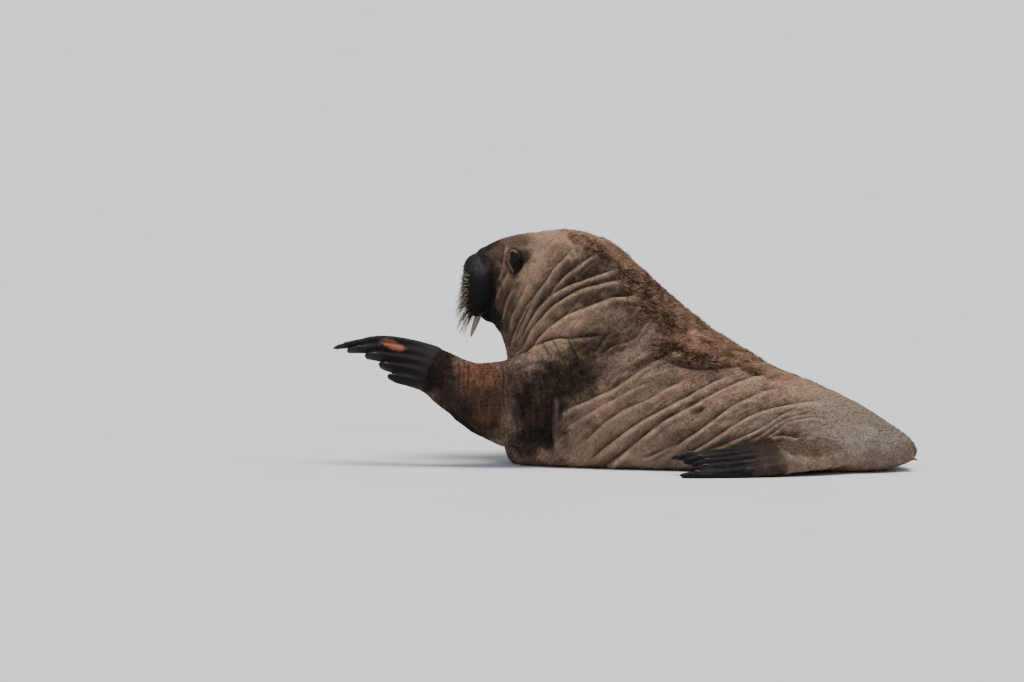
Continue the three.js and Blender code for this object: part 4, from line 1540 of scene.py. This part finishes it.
    def _lay_lids(self, points: Array, side: Side) -> Array:
        """Draws the skin round one eyeball and opens it between the lids.

        Args:
            points: the skin's vertices.
            side: which eye.

        Returns:
            The vertices in their new places.
        """
        centre, look = self.face.eye_centre(side), self.face.look(side)
        across = unit(np.cross(np.array([0.0, 0.0, 1.0]), look)) * -side.value
        upward = np.cross(look, across) * -side.value
        offset = points - centre
        away = np.linalg.norm(offset, axis=1)
        out, wide, high = offset @ look, offset @ across / away, offset @ upward / away
        reach = np.hypot(wide, high) * away / MM
        near = (out > 0) & (reach < 90)
        ball = self.face.eyeball
        half_wide, half_high = self.opening
        slit = np.sqrt(np.abs(wide / half_wide) ** 2.2 + (np.abs(high) / half_high) ** 2)
        above, below = smoothstep(-0.1, 0.35, high), smoothstep(-0.1, 0.35, -high)
        rim = bell(slit - 1.16, 0.11) * (1.0 - smoothstep(19.5, 23.0, reach))
        hood = bell(reach - 28.0, 2.6) * above
        brow = bell(reach - 35.0, 5.0) * above
        bag = bell(reach - 27.0, 2.4) * below
        lid = np.where(slit < 1.0, ball - 3 * MM, ball + MM * (1.9 + rim * (0.3 + 2.0 * above)))
        cover = 1.0 - smoothstep(19.0, 33.0, reach)
        wanted = away + (lid - away) * cover
        wanted += MM * (2.4 * brow - 3.0 * hood - 0.8 * bag)
        moved = centre + unit(offset) * wanted[:, None]
        self._deepen("lid", np.where(near, 1.0 - smoothstep(22, 30, reach), 0.0))
        # painted highlight: a pale rim along the upper lid's edge only, where light falls on it
        self._deepen("rim", np.where(near, rim * above, 0.0))
        # painted shade in the hood crease above the eye and the bag crease below it
        self._deepen("fold", 0.9 * np.where(near, np.maximum(hood, 0.3 * bag), 0.0))
        return np.where(near[:, None], moved, points)

    def _shape_hands(self) -> None:
        """Cuts the webs between the digits of each hand and foot, raises the digits' backs, and
        marks painted shade in the webs and a painted sheen along the digits.
        """
        points, normals = points_of(self.piece), normals_of(self.piece)
        for limb in self.limbs:
            found = limb.locate(points)
            hand = np.clip(self.share[limb.hand] * 1.5, 0.0, 1.0)
            last = len(limb.joints) - 1
            along = (found["along"] - limb.wrist) / (last - limb.wrist)
            grown = hand * smoothstep(0.05, 0.45, along)
            digits = np.array(limb.digits)
            webs = (digits[1:] + digits[:-1]) / 2
            across = found["across"]
            web = bell(np.min(np.abs(across[:, None] - webs), axis=1), 0.065)
            digit = bell(np.min(np.abs(across[:, None] - digits), axis=1), 0.09)
            leg = limb.is_leg
            lengthwise = np.stack([across * 0.12, found["along"] * 0.02], axis=1)
            tendon = waves(lengthwise, 0.012, Seed.TENDON)
            back = np.where(found["raised"] > 0, 1.0, 0.5)
            height = back * grown * (3.0 * digit - (3.0 if leg else 5.0) * web + 0.6 * tendon) * MM
            points = points + height[:, None] * normals
            # painted sheen: the digits' backs are made paler, most where they face up
            wear_and_sheen = digit * hand * smoothstep(0.25, 0.8, along)
            wear_and_sheen = wear_and_sheen * np.where(found["raised"] > 0, 0.3 if leg else 0.8, 0.2)
            self._deepen("digit", wear_and_sheen)
            # painted shade in the webs between the digits
            self._deepen("fold", 0.8 * web * grown)
        move_points(self.piece, points)

    def _sink(self) -> None:
        """Draws the skin in by the depth of the fur, and rests it on the floor."""
        points, normals = points_of(self.piece), normals_of(self.piece)
        bare = self.share[Part.MUZZLE] + sum(self.share[part] for part in HANDS)
        furred = np.clip(1.0 - bare, 0.0, 1.0) * (1.0 - self.marks["lid"])
        points = points - (self.coat * furred)[:, None] * normals
        points[:, 2] = np.where(points[:, 2] < self.floor, 0.0, points[:, 2])
        move_points(self.piece, points)

    def _mark(self) -> None:
        """Works out where the colours of the coat change, painted shade and painted highlights
        among them, and keeps that on the mesh.
        """
        points = points_of(self.piece)
        found = self.spine.locate(points)
        pixels = self._pixels(points, found)
        calm = pixels.copy()
        for column, seed in enumerate((Seed.EDGE_ACROSS, Seed.EDGE_DOWN)):
            ragged = 2.2 * waves(points, 0.045, seed) + 1.2 * waves(points, 0.018, seed + 5)
            pixels[:, column] += ragged
        marks = self.marks
        for tint in Tint:
            marks.setdefault(tint.value, np.zeros(len(points)))
        limb = sum(self.share[part] for part in LIMBS + HANDS)
        seen = -normals_of(self.piece) @ np.array(self.view.ahead)
        for blot in BLOTS:
            cover = blot.cover(pixels if min(blot.radii) > 8 else calm)
            if blot.limb is not None:
                cover = cover * (limb if blot.limb else 1.0 - limb)
            if blot.tint is Tint.SPOT:
                cover = cover * smoothstep(-0.2, 0.2, seen)
            self._deepen(blot.tint.value, cover)
        hands = sum(self.share[part] for part in HANDS)
        for one in self.limbs:
            place = one.locate(points)["along"] + 0.12 * waves(points, 0.03, Seed.WRIST)
            start = one.wrist + (0.45 if one.is_leg else 0.15)
            black = self.share[one.hand] * smoothstep(start, one.wrist + 0.95, place)
            self._deepen("dark", smoothstep(0.1, 0.6, black))
            self._deepen("olive" if one.is_leg else "shade", 0.95 * self.share[one.hand])
        bare = np.clip(hands + smoothstep(0.2, 0.8, self.share[Part.MUZZLE]), 0.0, 1.0)
        marks["bare"] = np.maximum(bare, marks.pop("lid"))
        arms = self.share[Part.ARM_LEFT] + self.share[Part.ARM_RIGHT]
        marks["streak"] = np.clip(arms + 0.8 * marks["shade"] * self.share[Part.CHEST], 0.0, 1.0)
        marks["along"] = found["along"] * 0.14
        marks["around"] = found["angle"] * 0.25
        marks["girth"] = np.abs(marks["around"])
        marks["trunk"] = smoothstep(0.5, 1.0, self._trunk())
        for name, values in marks.items():
            store(self.piece, name, values)

    def _thin(self) -> None:
        """Takes out vertices where the skin is flat, and carries the marks over to those kept."""
        before = points_of(self.piece)
        only(self.piece)
        alter(self.piece, "TRIANGULATE")
        alter(self.piece, "DECIMATE", ratio=min(1.0, self.limit / len(self.piece.data.polygons)))
        tree = KDTree(len(before))
        for index, point in enumerate(before.tolist()):
            tree.insert(point, index)
        tree.balance()
        match = np.array([tree.find(point)[1] for point in points_of(self.piece).tolist()])
        self.share = {part: values[match] for part, values in self.share.items()}
        self.marks = {name: values[match] for name, values in self.marks.items()}


# Eyes, tusks, whiskers and nails


def tube(rings: Array, sides: int, wide: Array, high: Array, radii: Array) -> tuple[Array, Array]:
    """Closed tapered tubes round some lines.

    Args:
        rings: centres, by tube and ring.
        sides: corners of a ring.
        wide: one direction across each ring.
        high: the other.
        radii: the two half sizes of each ring, or one.

    Returns:
        The points of all the tubes, and their triangles.
    """
    count, length = rings.shape[:2]
    turn = np.arange(sides) / sides * 2 * math.pi
    around = (np.cos(turn)[:, None] * wide[:, :, None, :] * radii[:, :, None, :1]
              + np.sin(turn)[:, None] * high[:, :, None, :] * radii[:, :, None, -1:])
    walls = rings[:, :, None, :] + around
    points = np.concatenate([walls.reshape(count, -1, 3), rings[:, :1], rings[:, -1:]], axis=1)
    faces = []
    for ring in range(length - 1):
        for side in range(sides):
            a, b = ring * sides + side, ring * sides + (side + 1) % sides
            faces += [(a, b, b + sides), (a, b + sides, a + sides)]
    base, end = length * sides, length * sides + 1
    last = (length - 1) * sides
    for side in range(sides):
        after = (side + 1) % sides
        faces += [(base, after, side), (end, last + side, last + after)]
    one = np.array(faces)
    every = one[None] + (np.arange(count) * (length * sides + 2))[:, None, None]
    return points.reshape(-1, 3), every.reshape(-1, 3)


def tube_piece(
    name: str, mark: str, share: Array, rings: Array, sides: int, wide: Array, high: Array,
    radii: Array
) -> bpy.types.Object:
    """A piece of tubes whose faces point outwards."""
    piece = mesh_from(name, *tube(rings, sides, wide, high, radii))
    with editing(piece):
        bpy.ops.mesh.select_all(action="SELECT")
        bpy.ops.mesh.normals_make_consistent(inside=False)
    one = np.concatenate([np.repeat(share, sides), [0.0, 1.0]])
    store(piece, mark, np.tile(one, len(rings)))
    return piece


@dataclass
class Eyes:
    """Both eyeballs, each with its clear bulge over the iris."""

    face: Face
    bulge: float = 0.9 * MM
    clear: tuple[float, float] = (0.45, 0.72)
    finish: EyeFinish = EyeFinish()

    def build(self) -> None:
        """Makes the two eyes."""
        dress = self.finish.make()
        for side in Side:
            only_none()
            centre, look = self.face.eye_centre(side), self.face.look(side)
            bpy.ops.mesh.primitive_uv_sphere_add(
                segments=56, ring_count=36, radius=self.face.eyeball - self.bulge,
                location=centre, rotation=Vector(look).to_track_quat("Z", "Y").to_euler(),
            )
            piece = bpy.context.active_object
            piece.name = piece.data.name = f"eyeball_{side.word}"
            settle(piece)
            points = points_of(piece)
            away = unit(points - centre)
            off = np.arccos(np.clip(away @ look, -1.0, 1.0)) / (math.pi / 2)
            clear = 1.0 - smoothstep(*self.clear, off)
            move_points(piece, points + (self.bulge * clear)[:, None] * away)
            store(piece, "off", off)
            bpy.ops.object.shade_smooth()
            piece.data.materials.append(dress)
            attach(piece, "root")
            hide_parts(f"eye_{side.word}")
            LOG.info("%s: %d faces", piece.name, len(piece.data.polygons))


@dataclass
class Tusks:
    """Both tusks, short, slightly curved and worn at their ends."""

    spine: Spine
    line: tuple[tuple[float, float, float], ...] = (
        (-500, 40, 612), (-514, 42, 568), (-532, 43, 514), (-553, 42, 456))
    radii: tuple[tuple[float, float], ...] = ((13, 10), (13, 10), (11, 8.5), (4.2, 3.6))
    fit: float = 0.98
    wear_and_sheen: tuple[float, ...] = (0.93, 0.8, 0.52)
    rings: int = 34
    sides: int = 26
    finish: IvoryFinish = IvoryFinish()

    def build(self) -> None:
        """Makes the two tusks."""
        dress = self.finish.make()
        places = np.linspace(0, len(self.line) - 1, self.rings)
        share = places / places[-1]
        sizes = curve(np.array(self.radii), places) * MM * self.fit
        sizes[-len(self.wear_and_sheen):] *= np.array(self.wear_and_sheen)[:, None]
        for side in Side:
            middle = self.spine.eyes_middle[1]
            rows = np.array([(x, middle + side.value * y, z) for x, y, z in self.line])
            centres = curve(rows * MM + self.spine.shift, places)
            along = unit(np.gradient(centres, axis=0))
            wide = unit(np.cross(along, np.array([0.0, 1.0, 0.0])))
            high = np.cross(along, wide)
            groove = 1.0 + 0.02 * np.sin(places * 19.0) + 0.015 * np.sin(places * 41.0 + side.value)
            radii = sizes * groove[:, None]
            piece = tube_piece(f"tusk_ivory_{side.word}", "along", share, centres[None], self.sides,
                               wide[None], high[None], radii[None])
            piece.data.materials.append(dress)
            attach(piece, "root")
            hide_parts(f"tusk_{side.word}")
            LOG.info("%s: %d faces", piece.name, len(piece.data.polygons))


@dataclass
class Whiskers:
    """The stiff bristles of both pads, short above and long where they hang below."""

    hide: Hide
    rows: int = 13
    columns: int = 13
    high: float = 52.0  # degrees, like the next four
    low: float = -74.0
    inner: float = -36.0
    outer: float = 56.0
    scatter: float = 1.7
    lean: tuple[float, float, float] = (-0.35, 0.12, -0.35)
    stray: float = 0.13
    search: float = 0.25
    short: float = 15.0  # millimetres, like the next three
    long: float = 72.0
    root: float = 1.25
    tip: float = 0.35
    rings: int = 6
    sides: int = 5
    seed: int = 17
    finish: WhiskerFinish = WhiskerFinish()

    def build(self) -> None:
        """Makes all the whiskers as one mesh."""
        random = np.random.default_rng(self.seed)
        roots, ways, lengths, droops = [], [], [], []
        tree = skin_tree(self.hide.piece)
        pad, spine = self.hide.face.pad, self.hide.spine
        for side in Side:
            centre = pad.centre(spine, side.value)
            for row in range(self.rows):
                down = row / (self.rows - 1)
                for column in range(self.columns):
                    out = (column + 0.5 * (row % 2)) / (self.columns - 0.5)
                    pitch = self.high + (self.low - self.high) * down
                    pitch = math.radians(pitch + random.normal(0, self.scatter))
                    swing = self.inner + (self.outer - self.inner) * out
                    swing = math.radians(swing + random.normal(0, self.scatter))
                    level = math.cos(pitch)
                    ray = np.array([-math.cos(swing) * level,
                                    side.value * math.sin(swing) * level, math.sin(pitch)])
                    start = centre + ray * self.search
                    hit, normal, _, _ = tree.ray_cast(Vector(start), Vector(-ray), self.search)
                    if hit is None or (hit[1] - spine.face_middle) * side.value < -4 * MM:
                        continue
                    normal = np.array(normal)
                    lean = np.array(self.lean) * (1, side.value, 1)
                    way = unit(normal + lean + random.normal(0, self.stray, 3))
                    base = self.short + (self.long - self.short) * down ** 3.0
                    lengths.append(base * (0.85 + 0.25 * out) * random.uniform(0.7, 1.25) * MM)
                    roots.append(np.array(hit) - normal * 2.5 * MM)
                    ways.append(way)
                    droops.append((0.12 + 0.75 * down) * random.uniform(0.5, 1.3))
        grown = (np.array(values) for values in (roots, ways, lengths, droops))
        piece = self._grow(*grown, random)
        piece.data.materials.append(self.finish.make())
        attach(piece, "root")
        LOG.info("whiskers: %d, %d faces", len(roots), len(piece.data.polygons))

    def _grow(
        self, roots: Array, ways: Array, lengths: Array, droops: Array, random: np.random.Generator
    ) -> bpy.types.Object:
        """Bends a tapered tube from each root."""
        share = np.linspace(0.0, 1.0, self.rings)
        fall = np.array([0.12, 0.0, -1.0])
        bend = fall * (droops[:, None] * share**2 * 0.5)[:, :, None]
        line = ways[:, None, :] * share[None, :, None] + bend
        centres = roots[:, None, :] + line * lengths[:, None, None]
        along = unit(np.gradient(centres, axis=1))
        wide = unit(np.cross(along, np.array([0.0, 1.0, 0.02])))
        high = np.cross(along, wide)
        thick = (self.root + (self.tip - self.root) * share**1.3) * MM
        thick = thick * (0.75 + 0.35 * (lengths / (self.long * MM)))[:, None]
        piece = tube_piece("whiskers", "tip", share, centres, self.sides, wide, high,
                           thick[:, :, None])
        each = random.uniform(0, 1, len(roots))
        store(piece, "tuft", np.repeat(each, self.rings * self.sides + 2))
        return piece


@dataclass
class Nails:
    """A short nail on the back of each digit, set back from its tip."""

    limbs: list[Limb]
    place: float = 0.84
    above: float = 0.06
    search: float = 0.1
    length: float = 20.0  # millimetres, like the radius
    radius: float = 4.0
    flat: float = 0.62
    rings: int = 7
    sides: int = 10
    finish: HornFinish = HornFinish()

    def build(self, tree: BVHTree) -> None:
        """Makes all the nails as one mesh, seated on the skin."""
        centres, wides, highs, sizes = [], [], [], []
        share = np.linspace(0.0, 1.0, self.rings)
        for limb in self.limbs:
            last = len(limb.joints) - 1
            for across, reach in zip(limb.digits, limb.reach):
                where = limb.wrist + (last - limb.wrist) * self.place * reach
                at = limb.sections(np.array([where]))
                spot = (at["at"] + at["across"] * across * at["half"][:, None])[0]
                up, ahead = at["dorsal"][0], at["along"][0]
                hit = tree.ray_cast(Vector(spot + up * self.above), Vector(-up), self.search)[0]
                seat = np.array(hit) if hit is not None else spot + up * at["thick"][0]
                rise = 0.6 + 1.6 * np.sin(share * math.pi * 0.75)
                line = seat + ahead * ((share - 0.45) * self.length * MM)[:, None]
                centres.append(line + up * (rise * MM)[:, None])
                wides.append(np.tile(np.cross(ahead, up), (self.rings, 1)))
                highs.append(np.tile(up, (self.rings, 1)))
                blunt = np.sqrt(np.clip(1.0 - (share * 0.97) ** 2.6, 0.02, 1.0))
                taper = self.radius * blunt * (0.7 + 0.3 * share)
                sizes.append(np.stack([taper, taper * self.flat], axis=1) * MM)
        piece = tube_piece("nails", "tip", share, np.array(centres), self.sides, np.array(wides),
                           np.array(highs), np.array(sizes))
        piece.data.materials.append(self.finish.make())
        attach(piece, "root")
        LOG.info("nails: %d, %d faces", len(centres), len(piece.data.polygons))


def skin_tree(piece: bpy.types.Object) -> BVHTree:
    """A search tree of a piece's triangles."""
    return BVHTree.FromPolygons(points_of(piece).tolist(), corners_of(piece.data).tolist())


# The coat


def among(rows: dict[str, Array], *parts: Part) -> Array:
    """Which rows are on any of some parts."""
    return np.isin(rows["part"], [PARTS.index(part) for part in parts])


class Pelt(Enum):
    """Stretches of the coat: the parts that each covers, and its length in millimetres."""

    HEAD = ((Part.HEAD,), 6.5)
    NECK = ((Part.NECK,), 9.0)
    CHEST = ((Part.CHEST,), 10.0)
    TORSO = ((Part.TORSO,), 10.5)
    HIPS = ((Part.HIPS,), 9.5)
    ARMS = ((Part.ARM_LEFT, Part.ARM_RIGHT), 8.0)
    LEGS = ((Part.LEG_LEFT, Part.LEG_RIGHT), 8.0)


@dataclass
class Coat:
    """Short fur lying back along the body, in tufts that are long only in the dark ruff."""

    hide: Hide
    density: float = 88_000.0
    most: int = 49_500
    ruff_length: float = 22.0
    thick: float = 0.5 * MM
    bury: float = 1.2 * MM
    clear: float = 0.4 * MM
    floor: float = 4 * MM
    patch: float = 0.0015
    seed: int = 29
    finish: HideFinish = HideFinish()

    def build(self) -> None:
        """Makes the pieces of the coat, one for each stretch and side."""
        dress = self.finish.coat()
        roots = self._roots()
        over = np.where(roots["around"] < 0, -1, 1)
        over[among(roots, Part.ARM_LEFT, Part.LEG_LEFT)] = Side.LEFT.value
        over[among(roots, Part.ARM_RIGHT, Part.LEG_RIGHT)] = Side.RIGHT.value
        for pelt in Pelt:
            parts, length = pelt.value
            for side in Side:
                chosen = np.nonzero(among(roots, *parts) & (over == side.value))[0]
                if len(chosen) > self.most:
                    LOG.warning("coat %s %s has %d tufts", pelt.name, side.word, len(chosen))
                rows = {name: values[chosen[:self.most]] for name, values in roots.items()}
                piece = self._tufts(f"coat_{pelt.name.lower()}_{side.word}", rows, length)
                piece.data.shade_smooth()
                piece.data.materials.append(dress)
                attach(piece, "root")
                tufts = min(len(chosen), self.most)
                LOG.info("%s: %d tufts, %d faces", piece.name, tufts, len(piece.data.polygons))

    def _roots(self) -> dict[str, Array]:
        """Scatters the tufts' roots over the furred skin, with what the skin says at each."""
        random = np.random.default_rng(self.seed)
        piece = self.hide.piece
        points, normals = points_of(piece), normals_of(piece)
        faces = corners_of(piece.data)
        a, b, c = (points[faces[:, k]] for k in range(3))
        area = np.linalg.norm(np.cross(b - a, c - a), axis=1) / 2
        parts = np.argmax(np.stack([self.hide.share[part] for part in PARTS]), axis=0)
        marks = self.hide.marks
        bare = marks["bare"][faces].max(axis=1)
        floor = points[faces][:, :, 2].max(axis=1) < self.floor
        weight = area * np.where((bare > 0.5) | floor, 0.0, 1.0)
        weight = weight * (1.0 - 0.6 * marks["fold"][faces].mean(axis=1))
        weight = weight * (1.0 + 0.5 * marks["ruff"][faces].mean(axis=1))
        count = int(weight.sum() * self.density)
        picked = random.choice(len(faces), count, p=weight / weight.sum())
        share = random.uniform(0, 1, (count, 2))
        over = share.sum(axis=1) > 1
        share[over] = 1 - share[over]
        mix = np.stack([1 - share.sum(axis=1), share[:, 0], share[:, 1]], axis=1)
        corner = faces[picked]

        def blend(values: Array) -> Array:
            """What the corners of each picked face say, mixed."""
            return np.einsum("nk,nk...->n...", mix, values[corner])

        rows = {name: blend(values) for name, values in marks.items()}
        rows["root"] = blend(points)
        rows["normal"] = unit(blend(normals))
        rows["part"] = parts[corner[:, 0]]
        rows["way"] = self._lie(rows, random)
        rows["tuft"] = random.uniform(0, 1, count)
        rows["size"] = random.uniform(0.75, 1.3, count)
        rows["lift"] = random.normal(0, 1, count)
        return rows

    def _lie(self, rows: dict[str, Array], random: np.random.Generator) -> Array:
        """The direction in which the fur lies: back along the trunk, and down each limb."""
        root, normal = rows["root"], rows["normal"]
        way = self.hide.spine.locate(root)["back"].copy()
        way[:, 2] -= 0.25
        for limb in self.hide.limbs:
            mine = among(rows, limb.arm)
            way[mine] = limb.locate(root[mine])["way"]
        way = way - dots(way, normal)[:, None] * normal
        way = unit(way)
        aside = np.cross(normal, way)
        stray = 0.3 + 0.5 * rows["ruff"]
        turn = 0.7 * waves(root, 0.06, Seed.LIE) + 0.6 * random.normal(0, 1, len(root))
        turn = stray * turn
        return np.cos(turn)[:, None] * way + np.sin(turn)[:, None] * aside

    def _tufts(self, name: str, rows: dict[str, Array], length: float) -> bpy.types.Object:
        """Makes one closed pyramid for each tuft, with its length in millimetres."""
        root, normal, way = rows["root"], rows["normal"], rows["way"]
        ruff = smoothstep(0.35, 0.8, rows["ruff"])
        reach = (length + (self.ruff_length - length) * ruff) * rows["size"] * MM
        lift = np.radians(7.0 + 15.0 * ruff + (2.5 + 5.5 * ruff) * rows["lift"])
        lift = np.clip(lift, 0.06, 0.8)
        wide = (1.5 + 1.2 * ruff + 0.05 * length) / 2 * MM * rows["size"]
        aside = np.cross(normal, way)
        sunk = root - normal * self.bury
        point = way * np.cos(lift)[:, None] + normal * np.sin(lift)[:, None]
        corners = np.stack([
            sunk + aside * wide[:, None],
            sunk - aside * wide[:, None],
            root + normal * self.thick,
            root + point * reach[:, None],
        ], axis=1)
        corners[:, :, 2] = np.maximum(corners[:, :, 2], self.clear)
        one = np.array([(0, 1, 2), (0, 2, 3), (2, 1, 3), (1, 0, 3)])
        faces = (one[None] + (np.arange(len(root)) * 4)[:, None, None]).reshape(-1, 3)
        first = corners[0] if len(root) else np.zeros((4, 3))
        if np.linalg.det(first[1:] - first[0]) > 0:
            faces = faces[:, ::-1]
        piece = mesh_from(name, corners.reshape(-1, 3), faces)
        for mark in ("fold", "crest_highlight", "tuft", "rim", "streak", *(tint.value for tint in Tint)):
            store(piece, mark, np.repeat(rows[mark], 4))
        store(piece, "tip", np.tile([0.0, 0.0, 0.25, 1.0], len(root)))
        self._unwrap(piece, rows, faces)
        return piece

    def _unwrap(self, piece: bpy.types.Object, rows: dict[str, Array], faces: Array) -> None:
        """Gives each tuft its own patch of the map, at its root's place on the skin."""
        flat = np.stack([rows["along"], rows["around"]], axis=1)
        for limb in self.hide.limbs:
            mine = among(rows, limb.arm)
            if mine.any():
                found = limb.locate(rows["root"][mine])
                flat[mine] = np.stack([found["along"] * 0.15, found["angle"] * 0.1], axis=1)
                flat[mine] += np.array([self.hide.limbs.index(limb) * 1.2, 0.0])
        low, high = flat.min(axis=0), flat.max(axis=0)
        flat = 0.01 + 0.98 * (flat - low) / np.maximum(high - low, 1e-6)
        patch = np.array([(-1, -1), (1, -1), (0, 0.2), (0, 1)]) * self.patch
        places = (flat[:, None, :] + patch).reshape(-1, 2)
        layer = piece.data.uv_layers.new(name="OFBake")
        layer.data.foreach_set("uv", places[faces.ravel()].astype(np.float32).ravel())


# Studio


@dataclass(frozen=True)
class FloorFinish:
    """A pale matt floor, faintly mottled."""

    dull: Colour = (0.76, 0.775, 0.8)
    clean: Colour = (0.8, 0.81, 0.825)

    def make(self) -> bpy.types.Material:
        """Makes the material."""
        graph = Graph("floor_paint")
        mottle = graph.between(graph.noise(graph.place(), 1.2, 4.0), 0.35, 0.65)
        return graph.finish(Base_Color=graph.mix(mottle, self.dull, self.clean), Roughness=0.9)


@dataclass
class Studio:
    """Pale floor, soft light and the camera."""

    view: PhotoView
    lens: float = 400.0
    sensor: float = 36.0
    distance: float = 42.1
    far: float = 400.0
    floor_half: float = 400.0
    sun_strength: float = 3.3
    sun_angle: float = 0.5
    sun_colour: Colour = (1.0, 0.97, 0.93)
    sun_way: tuple[float, float, float] = (-0.32, 0.08, -1.0)
    sky_strength: float = 0.6
    sky_colour: Colour = (0.86, 0.92, 1.0)

    def build(self) -> None:
        """Makes the floor, the light and the camera."""
        only_none()
        bpy.ops.mesh.primitive_plane_add(size=2 * self.floor_half, location=(0.0, 0.0, 0.0))
        floor = bpy.context.active_object
        floor.name = "floor"
        floor.data.materials.append(FloorFinish().make())
        sun = bpy.data.lights.new("sun", "SUN")
        sun.energy, sun.angle, sun.color = self.sun_strength, self.sun_angle, self.sun_colour
        lamp = bpy.data.objects.new("sun", sun)
        lamp.rotation_euler = Vector(self.sun_way).to_track_quat("-Z", "Y").to_euler()
        bpy.context.scene.collection.objects.link(lamp)
        world = bpy.data.worlds.new("sky")
        world.use_nodes = True
        sky = world.node_tree.nodes["Background"].inputs
        sky["Color"].default_value = (*self.sky_colour, 1.0)
        sky["Strength"].default_value = self.sky_strength
        bpy.context.scene.world = world
        camera = bpy.data.cameras.new("camera")
        camera.lens, camera.sensor_width, camera.clip_end = self.lens, self.sensor, self.far
        seat = bpy.data.objects.new("camera", camera)
        ahead = Vector(self.view.ahead)
        seat.location = self.view.target() - ahead * self.distance
        seat.rotation_euler = ahead.to_track_quat("-Z", "Y").to_euler()
        bpy.context.scene.collection.objects.link(seat)
        bpy.context.scene.camera = seat


def main() -> None:
    """Builds the walrus and its studio."""
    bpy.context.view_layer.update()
    view, spine, face = PhotoView.from_frame(), Spine(), Face()
    limbs = limbs_of(spine)
    Studio(view).build()
    hide = Hide(spine, view, face, limbs)
    skin = hide.build()
    skin.data.materials.append(HideFinish().skin())
    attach(skin, "root")
    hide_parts(*[name for part in PARTS for name in part.value])
    Eyes(face).build()
    Tusks(spine).build()
    Whiskers(hide).build()
    Nails(limbs).build(skin_tree(skin))
    Coat(hide).build()


if __name__ == "__main__":
    main()
